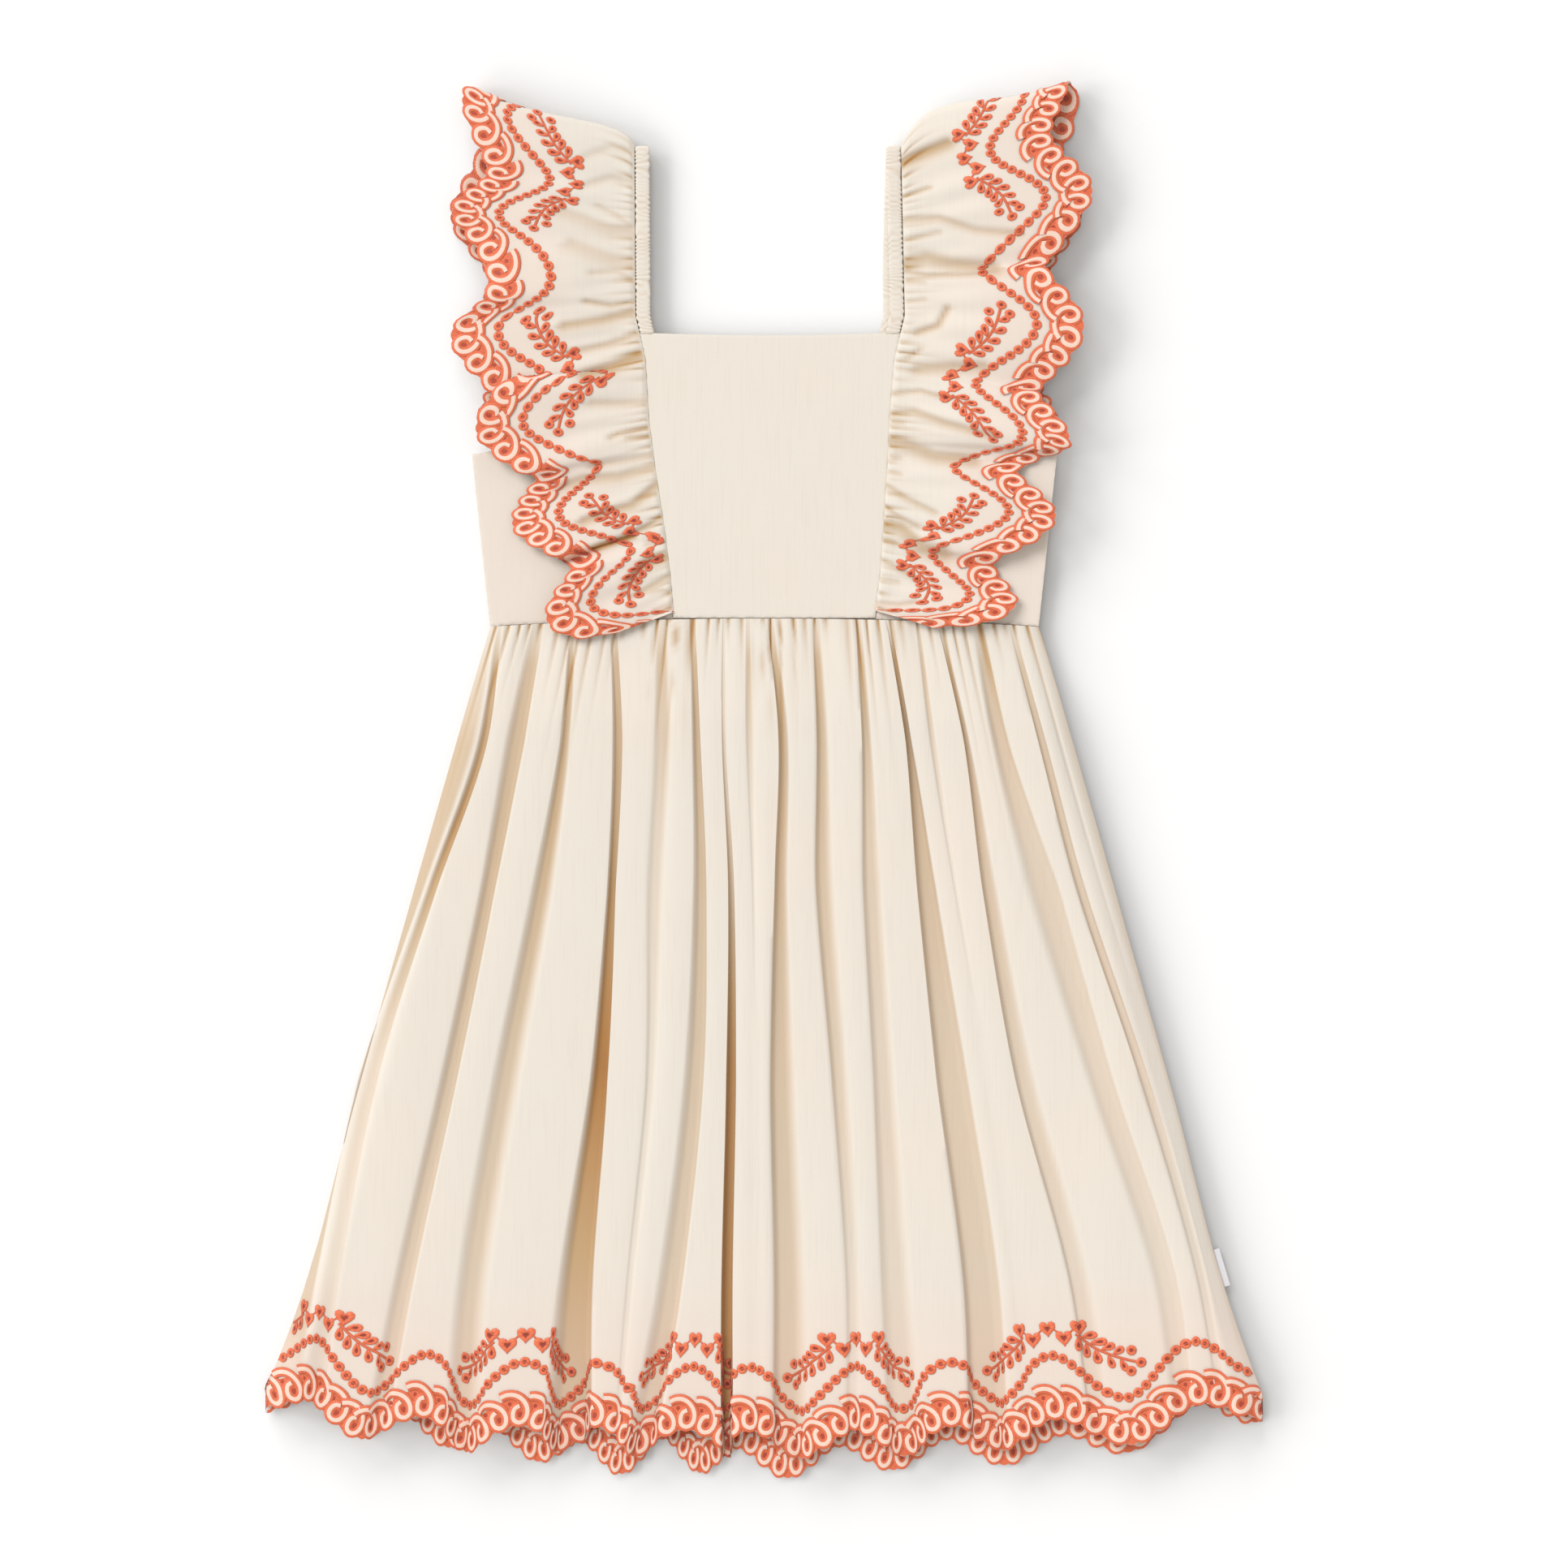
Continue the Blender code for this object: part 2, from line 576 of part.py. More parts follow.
def build_bodice():
    """Bib, two side panels and the plain back."""
    def bib_edge(side):
        def line(up):
            y = mix(WAIST_CENTRE_Y + SEAM_GAP, BIB_TOP_Y, up)
            return ruffle_seam_x(side, min(y, BIB_CORNER_Y)) - side * SEAM_GAP, y
        return line

    make_panel("bodice_front", bib_edge(-1), bib_edge(1), 12, 9,
               lambda puff: BIB_TOP_Z + BIB_PUFF * puff, BIB_WALL, CLOTH_COLOUR)

    for side, name in ((-1, "bodice_side_left"), (1, "bodice_side_right")):
        points = []
        columns, rows = 10, 8
        for j in range(rows):
            up = j / (rows - 1)
            for i in range(columns):
                reach = i / (columns - 1)
                top_x, top_y = armhole(side, reach)
                seam = ruffle_seam_x(side, mix(WAIST_CENTRE_Y, top_y, up)) + side * SEAM_GAP
                outer = side * mix(WAIST_HALF_WIDTH, UNDERARM_HALF_WIDTH, up)
                x = mix(outer, seam, reach)
                low_y = waist_y(x) + SEAM_GAP
                points.append(Vector((x, mix(low_y, top_y, up), SIDE_PANEL_TOP_Z)))
        make_solid(name, points, faces_up(points, grid_faces(columns, rows)), WALL, CLOTH_COLOUR,
                   upright=True)

    points = []
    columns, rows = 17, 7
    for j in range(rows):
        up = j / (rows - 1)
        for i in range(columns):
            across = 2 * i / (columns - 1) - 1
            reach = 1 - max(0, (abs(across) - NECK_SHARE) / (1 - NECK_SHARE))
            top_y = mix(UNDERARM_Y, BACK_TOP_Y, reach**ARMHOLE_CURVE)
            x = across * mix(WAIST_HALF_WIDTH, UNDERARM_HALF_WIDTH, up)
            y = mix(waist_y(x) + SEAM_GAP, top_y, up)
            points.append(Vector((x, y, BODICE_BACK_TOP_Z)))
    make_solid("bodice_back", points, faces_up(points, grid_faces(columns, rows)), WALL,
               CLOTH_COLOUR, upright=True)


def build_skirt_front():
    """Gathered front with its bands and troughs, and a hem cut in a wave of loops."""
    rows = (0.0, 0.03, 0.07, 0.13, 0.22, 0.33, 0.45, 0.57, 0.7, 0.82, 0.92)
    stations = len(skirt_section(0.0)[0])
    across = []
    for k in range(stations):
        across.append(float(k))
        if k % 4 == 0 and k < stations - 1:
            across.append(k + 0.5)
    points = []
    for v in rows:
        fade = max(0, 1 - v / WAIST_GATHER_REACH)
        for i, q in enumerate(across):
            point = skirt_point(q, v)
            point.z += WAIST_GATHER_HEIGHT * fade * (i % 2)
            points.append(point)
    for q in across:
        points.append(skirt_point(q, hem_share(q, EDGE_MARGIN)))
    columns = len(across)
    faces = grid_faces(columns, len(rows) + 1)
    inner = list(range(len(points) - columns, len(points)))

    flats = hem_stations()
    start, end = flats[0], flats[-1]
    count = int((end - start) / LOOP_PITCH * POINTS_PER_LOOP)
    outer, outer_at = [], []
    for k in range(count + 1):
        flat = mix(start, end, k / count)
        q = float(np.interp(flat, flats, range(stations)))
        height = edge_wave(flat) - LOOP_REACH + edge_notch(flat)
        outer.append(len(points))
        outer_at.append(q)
        points.append(skirt_point(q, hem_share(q, height)))
    faces += zip_faces(inner, across, outer, outer_at)
    make_solid("skirt_front", points, faces_up(points, faces), WALL, CLOTH_COLOUR, upright=True,
               lowest=lambda p: side_clearance(p.x, half_width((WAIST_CENTRE_Y - p.y) / SKIRT_LENGTH)))


def back_skirt_point(q, v):
    """Point of the skirt back: q counts stations, three to a low ridge; flat below the bands."""
    half = half_width(v)
    ridge, part = divmod(q - 1, 3)
    shift = BACK_FOLD_SHIFT * math.sin(BACK_FOLD_SHIFT_STEP * ridge)
    middle = half * (2 * (ridge + 0.5 + shift) / BACK_FOLD_COUNT - 1)
    x = min(half, max(-half, middle + (part - 1) * BACK_FOLD_WIDTH / 2))
    if q == 0:
        x = -half
    if q == 3 * BACK_FOLD_COUNT + 1:
        x = half
    on_ridge = 1 if part == 1 and 0 < q <= 3 * BACK_FOLD_COUNT else 0
    fade = min(1, (half - abs(x)) / SIDE_ROLL)
    z = WALL + BACK_FOLD_HEIGHT * on_ridge * fade * min(1, BACK_FOLD_WAIST_SHARE + v)
    y = mix(waist_y(x), back_hem_y(x), v)
    return Vector((x, y, z))


def back_hem_table():
    """Places across the back hem with the flat length at each, crests at whole waves."""
    first, last = BACK_CREST_PLACES[0], BACK_CREST_PLACES[-1]
    places = (-HEM_HALF_WIDTH,) + BACK_CREST_PLACES + (HEM_HALF_WIDTH,)
    flats = [WAVE_LENGTH * k for k in range(len(BACK_CREST_PLACES))]
    before = BACK_SIDE_SLOPE * (-HEM_HALF_WIDTH - first)
    after = flats[-1] + BACK_SIDE_SLOPE * (HEM_HALF_WIDTH - last)
    return places, [before] + flats + [after]


def build_skirt_back():
    """Gathered back, flat where it rests, with a hem that shows below the front's."""
    rows = (0.0, 0.1, 0.35, 0.6, 0.8, 0.9, 1 - EDGE_MARGIN / SKIRT_LENGTH)
    across = list(range(3 * BACK_FOLD_COUNT + 2))
    points = [back_skirt_point(q, v) for v in rows for q in across]
    columns = len(across)
    faces = grid_faces(columns, len(rows))
    inner = list(range(len(points) - columns, len(points)))
    inner_at = [points[k].x for k in inner]
    places, flats = back_hem_table()
    count = int((flats[-1] - flats[0]) / LOOP_PITCH * POINTS_PER_LOOP)
    outer, outer_at = [], []
    for k in range(count + 1):
        flat = mix(flats[0], flats[-1], k / count)
        x = float(np.interp(flat, flats, places))
        y = back_hem_y(x) + edge_wave(flat) - LOOP_REACH + edge_notch(flat)
        outer.append(len(points))
        outer_at.append(x)
        points.append(Vector((x, y, WALL)))
    faces += zip_faces(inner, inner_at, outer, outer_at)
    make_solid("skirt_back", points, faces_up(points, faces), WALL, CLOTH_COLOUR, upright=True,
               lowest=lambda p: 0.0)


def build_ruffle(name, side, front, back):
    """One gathered strip, sewn beside bib and strap, over the shoulder and down the back."""
    ribs = rib_tables(front, back)
    turn = len(front)
    last = len(ribs) - 1
    across = [k / 2 for k in range(2 * turn + 1)]
    across += [float(k) for k in range(turn + 1, last + 1)]
    shares = (0.0, 0.1, 0.25, 0.45, 0.65)
    points = [ruffle_point(ribs, turn, side, u, v) for v in shares for u in across]
    for u in across:
        seam, _, edge = ruffle_frame(ribs, turn, side, u)
        points.append(ruffle_point(ribs, turn, side, u, 1 - EDGE_MARGIN / (edge - seam).length))
    columns = len(across)
    faces = grid_faces(columns, len(shares) + 1)
    inner = list(range(len(points) - columns, len(points)))

    flats = [rib[5] for rib in ribs]
    samples = [k / SAMPLES_PER_RIB for k in range(SAMPLES_PER_RIB * last + 1)]
    flat_at = [smooth_curve(range(last + 1), flats, u) for u in samples]
    start, end = flats[0], flats[-1]
    count = int((end - start) / LOOP_PITCH * POINTS_PER_LOOP)
    outer, outer_at = [], []
    for k in range(count + 1):
        flat = mix(start, end, k / count)
        u = float(np.interp(flat, flat_at, samples))
        seam, _, edge = ruffle_frame(ribs, turn, side, u)
        out = NOTCH_DEPTH / 2 - edge_wave(flat) - edge_notch(flat)
        outer.append(len(points))
        outer_at.append(u)
        points.append(ruffle_point(ribs, turn, side, u, 1 + out / (edge - seam).length))
    faces += zip_faces(inner, across, outer, outer_at)
    if side > 0:
        faces = [tuple(reversed(face)) for face in faces]
    make_solid(name, points, faces, WALL, RUFFLE_COLOUR, lowest=lambda p: 0.0, seam=columns)


def build_strap(name, side):
    """Elastic tunnel with gathers across it, flattened into a loop over the shoulder."""
    bottom = BIB_TOP_Y + SEAM_GAP
    back_bottom = BACK_TOP_Y + SEAM_GAP
    front_under = STRAP_FRONT_Z - STRAP_THICKNESS
    middle_z = (front_under + STRAP_BACK_Z) / 2
    outer_radius = STRAP_FRONT_Z - middle_z
    inner_radius = outer_radius - STRAP_THICKNESS
    turn_y = STRAP_TOP_Y - outer_radius
    shares = [k / (2 * STRAP_RIBS) for k in range(2 * STRAP_RIBS + 1)]
    outline_out, outline_in = [], []
    for k, t in enumerate(shares):
        y = mix(bottom, turn_y, t)
        outline_out.append((y, STRAP_FRONT_Z + STRAP_RIB * (k % 2)))
        outline_in.append((y, front_under))
    for k in range(1, STRAP_TURN_STEPS):
        angle = math.pi / 2 - math.pi * k / STRAP_TURN_STEPS
        across, up = math.cos(angle), math.sin(angle)
        outline_out.append((turn_y + outer_radius * across, middle_z + outer_radius * up))
        outline_in.append((turn_y + inner_radius * across, middle_z + inner_radius * up))
    for t in shares:
        y = mix(turn_y, back_bottom, t)
        outline_out.append((y, STRAP_BACK_Z - STRAP_THICKNESS))
        outline_in.append((y, STRAP_BACK_Z))
    points, faces = [], []
    for (y_out, z_out), (y_in, z_in) in zip(outline_out, outline_in):
        x_seam = ruffle_seam_x(side, max(y_out, BIB_TOP_Y + SEAM_GAP)) - side * SEAM_GAP
        x_free = x_seam - side * STRAP_WIDTH
        points += [Vector((x_seam, y_out, z_out)), Vector((x_free, y_out, z_out)),
                   Vector((x_free, y_in, z_in)), Vector((x_seam, y_in, z_in))]
    count = len(outline_out)
    for k in range(count - 1):
        for c in range(4):
            a, b = 4 * k + c, 4 * k + (c + 1) % 4
            faces.append((a, b, b + 4, a + 4))
    faces.append((3, 2, 1, 0))
    last = 4 * (count - 1)
    faces.append((last, last + 1, last + 2, last + 3))
    if side > 0:
        faces = [tuple(reversed(face)) for face in faces]
    mesh = bpy.data.meshes.new(name)
    mesh.from_pydata([tuple(c * MILLIMETRE for c in p) for p in points], [], faces)
    mesh.update()
    mesh.materials.append(plain_material(name + "_finish", CLOTH_COLOUR, 0.85))
    strap = bpy.data.objects.new(name, mesh)
    bpy.context.collection.objects.link(strap)


def back_side_x(y):
    """Where the side edge of the skirt back lies at a height."""
    shares = [k / SIDE_STEPS for k in range(SIDE_STEPS + 1)]
    halves = [half_width(v) for v in shares]
    heights = [mix(WAIST_SIDE_Y, back_hem_y(x), v) for x, v in zip(halves, shares)]
    return float(np.interp(-y, [-h for h in heights], halves))


def build_label():
    """Blank woven label caught in the side seam: beside the back's edge, under the front's."""
    width, length, thick = LABEL_SIZE
    top = Vector((back_side_x(LABEL_TOP_Y), LABEL_TOP_Y, 0))
    bottom = Vector((back_side_x(LABEL_TOP_Y - length), LABEL_TOP_Y - length, 0))
    along = (bottom - top).normalized()
    across = Vector((-along.y, along.x, 0))
    corner = top + across * SEAM_GAP + Vector((0, 0, thick))
    points = []
    for j in range(4):
        for i in range(3):
            points.append(corner + across * (width * i / 2) + along * (length * j / 3))
    make_solid("side_label", points, faces_up(points, grid_faces(3, 4)), thick, LABEL_COLOUR,
               upright=True)


clear_scene()
build_bodice()
build_skirt_back()
build_skirt_front()
build_strap("strap_left", -1)
build_strap("strap_right", 1)
build_ruffle("ruffle_left", -1, LEFT_FRONT_RIBS, LEFT_BACK_RIBS)
build_ruffle("ruffle_right", 1, RIGHT_FRONT_RIBS, RIGHT_BACK_RIBS)
build_label()
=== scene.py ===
import math

import bpy
import numpy as np
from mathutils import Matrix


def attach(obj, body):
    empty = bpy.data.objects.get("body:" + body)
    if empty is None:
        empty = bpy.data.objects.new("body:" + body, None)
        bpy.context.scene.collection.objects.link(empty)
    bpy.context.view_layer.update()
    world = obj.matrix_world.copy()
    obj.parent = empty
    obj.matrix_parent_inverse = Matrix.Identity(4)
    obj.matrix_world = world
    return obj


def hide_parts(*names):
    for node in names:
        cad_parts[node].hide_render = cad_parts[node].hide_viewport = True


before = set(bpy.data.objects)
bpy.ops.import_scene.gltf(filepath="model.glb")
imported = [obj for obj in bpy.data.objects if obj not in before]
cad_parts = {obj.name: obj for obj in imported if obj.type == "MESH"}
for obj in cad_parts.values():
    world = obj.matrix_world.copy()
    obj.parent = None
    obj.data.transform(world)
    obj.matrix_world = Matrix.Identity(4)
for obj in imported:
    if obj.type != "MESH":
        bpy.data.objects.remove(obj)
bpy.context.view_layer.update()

# Table, light and camera.
# The dress lies on a matt white table top. A soft lamp stands high at the upper left and the white
# room fills the shade; a row of low ones round the left side lights the table alone and draws the
# broad soft shadow. The camera hangs straight above, far off, with a long lens.
MM = 0.001
TABLE_COLOURS = ("#D2D2D2", "#D3D3D3")
TABLE_CLOUD_SCALE = 3.0
TABLE_HALF = 3000.0
TABLE_Z = -0.1
ROOM_COLOUR = "#FFFDFA"
ROOM_STRENGTH = 0.72
CAMERA_PLACE = (9.6, -1.4, 2147.0)
LENS_LENGTH = 100.0
SENSOR_WIDTH = 36.0


def linear(hex_colour):
    """Linear colour of an sRGB hex value."""
    parts = [int(hex_colour[k:k + 2], 16) / 255 for k in (1, 3, 5)]
    return [p / 12.92 if p <= 0.04045 else ((p + 0.055) / 1.055) ** 2.4 for p in parts] + [1.0]


def add_node(tree, kind, inputs, **settings):
    """Node of one kind with its settings; each input gets a value or another node's output."""
    node = tree.nodes.new("ShaderNode" + kind)
    for key, value in settings.items():
        setattr(node, key, value)
    for key, value in inputs.items():
        if isinstance(value, bpy.types.NodeSocket):
            tree.links.new(value, node.inputs[key])
        else:
            node.inputs[key].default_value = value
    return node


def new_finish(name, roughness, sheen=0.0):
    """Empty material with its node tree and its shader."""
    finish = bpy.data.materials.new(name)
    finish.use_nodes = True
    shader = finish.node_tree.nodes["Principled BSDF"]
    shader.inputs["Roughness"].default_value = roughness
    shader.inputs["Sheen Weight"].default_value = sheen
    return finish, finish.node_tree, shader


def clouded(tree, scale, first, second):
    """Places on the surface, and a colour that wanders between two colours by a soft noise."""
    place = add_node(tree, "TexCoord", {}).outputs["Object"]
    cloud = add_node(tree, "TexNoise", {"Vector": place, "Scale": scale})
    tint = add_node(tree, "Mix", {0: cloud.outputs["Fac"], 6: linear(first), 7: linear(second)},
                    data_type="RGBA")
    return place, tint.outputs[2]


def new_piece(name, points, faces, *finishes):
    """Object with a mesh of points in mm, its faces and its finishes."""
    mesh = bpy.data.meshes.new(name)
    mesh.from_pydata((np.asarray(points) * MM).tolist(), [], faces)
    for finish in finishes:
        mesh.materials.append(finish)
    piece = bpy.data.objects.new(name, mesh)
    bpy.context.collection.objects.link(piece)
    return piece


# Matt lacquered board: flat white, with a faint cloudiness that keeps it from looking drawn
table_finish, tree, shader = new_finish("white_matt_lacquer", 0.9)
place, colour = clouded(tree, TABLE_CLOUD_SCALE, *TABLE_COLOURS)
tree.links.new(colour, shader.inputs["Base Color"])

corners = [(x * TABLE_HALF, y * TABLE_HALF, TABLE_Z)
           for x, y in ((-1, -1), (1, -1), (1, 1), (-1, 1))]
table_top = new_piece("table_top", corners, [(0, 1, 2, 3)], table_finish)

room = bpy.data.worlds.new("white_room")
room.use_nodes = True
background = room.node_tree.nodes["Background"]
background.inputs["Color"].default_value = linear(ROOM_COLOUR)
background.inputs["Strength"].default_value = ROOM_STRENGTH
bpy.context.scene.world = room
bpy.context.scene.view_settings.view_transform = "Standard"

# Name, strength, spread, height and turn of each lamp, angles in degrees, and its use of the
# table as a filter: it lights all but the table, or the table alone
LAMPS = [("soft_lamp", 1.95, 34, 47, 138, "EXCLUDE")]
# Turn and strength of the low lamps that stand round the left side
TABLE_LAMPS = ((100, 1.6), (128, 1.8), (156, 2.4), (184, 2.3), (212, 1.1), (238, 0.65))
TABLE_LAMP_SPREAD = 22
TABLE_LAMP_HEIGHT = 16
LAMPS += [("table_lamp_" + str(turn), strength, TABLE_LAMP_SPREAD, TABLE_LAMP_HEIGHT, turn,
           "INCLUDE") for turn, strength in TABLE_LAMPS]

for name, strength, spread, height_angle, turn, reach in LAMPS:
    lamp_data = bpy.data.lights.new(name, "SUN")
    lamp_data.energy = strength
    lamp_data.angle = math.radians(spread)
    lamp = bpy.data.objects.new(name, lamp_data)
    lamp.rotation_euler = (0.0, math.radians(90 - height_angle), math.radians(turn))
    bpy.context.collection.objects.link(lamp)
    lit = bpy.data.collections.new(name + "_table")
    lit.objects.link(table_top)
    lit.collection_objects[0].light_linking.link_state = reach
    lamp.light_linking.receiver_collection = lit

camera_data = bpy.data.cameras.new("camera")
camera_data.lens = LENS_LENGTH
camera_data.sensor_width = SENSOR_WIDTH
camera = bpy.data.objects.new("camera", camera_data)
camera.location = [c * MM for c in CAMERA_PLACE]
bpy.context.collection.objects.link(camera)
bpy.context.scene.camera = camera

# Skirt back.
# The gathered back panel of cotton poplin, plain above and pressed flat by the front. Only its
# scalloped hem shows, a little below the front's, with the wrong side of the cloth up.
CLOTH_THICKNESS = 0.45
WAIST_SIDE_Y = 76.0
WAIST_CENTRE_Y = 80.0
WAIST_HALF_WIDTH = 135.0
HEM_HALF_WIDTH = 245.0
HEM_CENTRE_Y = -319.5
HEM_SIDE_RISE = 16.0
HEM_RISE_AT = 235.0
PAST_HEM = 1.06
SIDE_ROLL = 14.0
BACK_TOP_Z = 1.0
BACK_FOLD_COUNT = 14
BACK_FOLD_HEIGHT = 1.4
BACK_FOLD_WIDTH = 9.0
BACK_COLUMN_STEP = 1.6
BACK_ROW_HEIGHTS = (360.0, 320.0, 270.0, 220.0, 170.0, 120.0, 80.0, 50.0, 30.0, 18.0)
SIDE_ROWS = (0.0, 0.1, 0.35, 0.61, 0.8, 0.9, 1.0)
SIDE_HALVES = (WAIST_HALF_WIDTH, 146.6, 174.3, 202.2, 220.4, 231.8, HEM_HALF_WIDTH)
WAVE_LENGTH = 68.0
WAVE_HEIGHT = 7.0
LOOP_PITCH = WAVE_LENGTH / 7
LOOP_REACH = 6.5
NOTCH_DEPTH = 2.0
EDGE_MARGIN = 12.0
BACK_CREST_PLACES = (-222, -178, -134, -90, -50, -14, 37, 90, 146, 214)
BACK_SIDE_SLOPE = 1.2
BACK_DROP_PLACES = (-245, -222, -178, -156, -110, -76, -50, -25, 8, 66, 107, 146, 178, 214, 245)
BACK_DROPS = (-4, 0, 2, 2.7, 6.3, 11.3, 5.5, 9.4, 10.8, 7.7, 7.7, 9.8, 7.6, 1.5, 0)
THREAD_SPACING = 0.55
SLUB_LENGTH = 30.0
SLUB_WIDTH = 1.3
CLOUD_SIZE = 70.0
WEAVE_RELIEF = 0.12
SHARP_ANGLE = 62
HEM_BLUSH = 0.8
BLUSH_HEIGHT = 60.0


def smooth_curve(rows, values, place):
    """Value at one place of a smooth curve through the values at the rows."""
    last = len(rows) - 1
    part = min(max(int(np.searchsorted(rows, place, side="right")) - 1, 0), last - 1)
    slopes = []
    for k in (part, part + 1):
        before, after = max(k - 1, 0), min(k + 1, last)
        slopes.append((values[after] - values[before]) / (rows[after] - rows[before]))
    span = rows[part + 1] - rows[part]
    t = (place - rows[part]) / span
    return (
        (2 * t**3 - 3 * t**2 + 1) * values[part]
        + (t**3 - 2 * t**2 + t) * span * slopes[0]
        + (3 * t**2 - 2 * t**3) * values[part + 1]
        + (t**3 - t**2) * span * slopes[1]
    )


def mix(a, b, t):
    return a + (b - a) * t


def share(value):
    """The value, held between 0 and 1."""
    return np.clip(value, 0.0, 1.0)


def half_width(v):
    return smooth_curve(SIDE_ROWS, SIDE_HALVES, min(v, 1))


def waist_y(x):
    return mix(WAIST_CENTRE_Y, WAIST_SIDE_Y, share(abs(x) / WAIST_HALF_WIDTH) ** 2)


def hem_y(x):
    """Smooth line that both hems follow."""
    return HEM_CENTRE_Y + HEM_SIDE_RISE * (x / HEM_RISE_AT) ** 2


def back_hem_y(x):
    return hem_y(x) - np.interp(x, BACK_DROP_PLACES, BACK_DROPS)


def edge_wave(flat):
    """How far the embroidered edge is drawn in towards the cloth."""
    return WAVE_HEIGHT * np.cos(2 * np.pi * flat / WAVE_LENGTH)


def edge_notch(flat):
    """How far the outline is drawn in between two loops."""
    return NOTCH_DEPTH * (1 - np.abs(np.sin(np.pi * flat / LOOP_PITCH)))


def weave_bump(tree, place, spacing, strength):
    """Plain weave: two sets of threads that cross, as a bump of real spacing."""
    band_period = 2 * math.pi / 20
    sets = [
        add_node(tree, "TexWave", {"Vector": place, "Scale": band_period / (spacing * MM),
                                   "Distortion": 0.6, "Detail": 1.0, "Detail Scale": 0.4},
                 wave_type="BANDS", bands_direction=direction)
        for direction in ("X", "Y")
    ]
    height = add_node(tree, "Math", {0: sets[0].outputs["Fac"], 1: sets[1].outputs["Fac"]},
                      operation="MAXIMUM")
    return add_node(tree, "Bump", {"Height": height.outputs[0], "Strength": strength,
                                   "Distance": WEAVE_RELIEF * MM})


# Cotton poplin, woven and washed: a fine plain weave with slightly thicker threads here and there,
# faint cloudy patches, and painted shade, warm and dark, deep in its folds. The real threads
# are 0.25 mm apart; they are drawn at twice that so that they show.
poplin, tree, shader = new_finish("cotton_poplin", 0.88, sheen=0.12)
place = add_node(tree, "TexCoord", {}).outputs["Object"]
slub_scale = (1 / (SLUB_WIDTH * MM), 1 / (SLUB_LENGTH * MM), 20)
stretched = add_node(tree, "Mapping", {"Vector": place, "Scale": slub_scale}).outputs[0]
colour = linear("#E0D9CE")
# Patches and slubs: where the noise is read, its scale, detail and range, strength and colour
for vector, scale, detail, low, high, most, tint in (
        (place, 1 / (CLOUD_SIZE * MM), 3.0, 0.4, 0.7, 1.0, "#E2D8CC"),
        (stretched, 1.0, 2.0, 0.5, 0.85, 0.35, "#D4CABD")):
    noise = add_node(tree, "TexNoise", {"Vector": vector, "Scale": scale, "Detail": detail})
    part = add_node(tree, "MapRange", {"Value": noise.outputs["Fac"], "From Min": low,
                                       "From Max": high, "To Min": 0.0, "To Max": most})
    layer = add_node(tree, "Mix", {0: part.outputs[0], 6: colour, 7: linear(tint)},
                     data_type="RGBA")
    colour = layer.outputs[2]
# Pink tint near the embroidery; on the side panels it is painted light bounced from the ruffles
near_stitch = add_node(tree, "Attribute", {}, attribute_name="near_stitch")
blushed = add_node(tree, "Mix", {0: near_stitch.outputs["Fac"], 6: colour,
                                 7: linear("#E3D3C7")}, data_type="RGBA")
# Painted shade: the fold_shade mark darkens the cloth towards warm tan where shade falls in folds
fold_shade = add_node(tree, "Attribute", {}, attribute_name="fold_shade")
painted_shade = add_node(tree, "ValToRGB", {"Fac": fold_shade.outputs["Fac"]})
for k, (stop, tone) in enumerate(((0.0, "#FFFFFF"), (0.25, "#F1E7DD"), (0.4, "#E4D5C2"),
                                  (0.6, "#D8BB94"), (0.8, "#C99A62"), (1.0, "#A06434"))):
    while len(painted_shade.color_ramp.elements) <= k:
        painted_shade.color_ramp.elements.new(1.0)
    painted_shade.color_ramp.elements[k].position = stop
    painted_shade.color_ramp.elements[k].color = linear(tone)
folded = add_node(tree, "Mix", {0: 1.0, 6: blushed.outputs[2], 7: painted_shade.outputs[0]},
                  data_type="RGBA", blend_type="MULTIPLY")
tree.links.new(folded.outputs[2], shader.inputs["Base Color"])
weave = weave_bump(tree, place, THREAD_SPACING, 0.35)
tree.links.new(weave.outputs[0], shader.inputs["Normal"])


def grid_faces(rows, columns):
    """Numbers of a grid's points, and the four-cornered faces between them."""
    index = np.arange(rows * columns).reshape(rows, columns)
    quads = np.stack([index[:-1, :-1], index[:-1, 1:], index[1:, 1:], index[1:, :-1]], -1)
    return index, quads.reshape(-1, 4)


def unit(vectors):
    """The same directions, each with a length of one."""
    return vectors / np.maximum(np.linalg.norm(vectors, axis=-1, keepdims=True), 1e-9)


def mark_points(piece, **marks):
    """Give every point of a piece the numbers that its finish reads."""
    for mark, values in marks.items():
        layer = piece.data.attributes.new(mark, "FLOAT", "POINT")
        layer.data.foreach_set("value", np.ravel(values).astype(np.float32))


def cloth_shell(name, grid, finish, thickness=CLOTH_THICKNESS, **marks):
    """Thin closed shell of one piece of cloth, from rows of points of its upper face."""
    points = grid.reshape(-1, 3)
    count = len(points)
    index, quads = grid_faces(*grid.shape[:2])
    border = np.concatenate([index[0], index[1:, -1], index[-1, -2::-1], index[-2:0:-1, 0]])
    after = np.roll(border, -1)
    corners = points[quads]
    normals = np.cross(corners[:, 2] - corners[:, 0], corners[:, 3] - corners[:, 1])
    if (normals[:, 2] * corners[:, :, 2].mean(1)).sum() < 0:
        quads = quads[:, ::-1]
        normals = -normals
        border, after = after, border
    at_points = np.zeros_like(points)
    for c in range(4):
        np.add.at(at_points, quads[:, c], normals)
    lower = points - unit(at_points) * thickness
    sides = np.stack([after, border, border + count, after + count], -1)
    faces = np.concatenate([quads, quads[:, ::-1] + count, sides])
    piece = new_piece(name, np.concatenate([points, lower]), faces.tolist(), finish)
    mark_points(piece, **{mark: np.tile(np.ravel(values), 2) for mark, values in marks.items()})
    piece.data.shade_smooth()
    piece.data.set_sharp_from_angle(angle=math.radians(SHARP_ANGLE))
    return piece


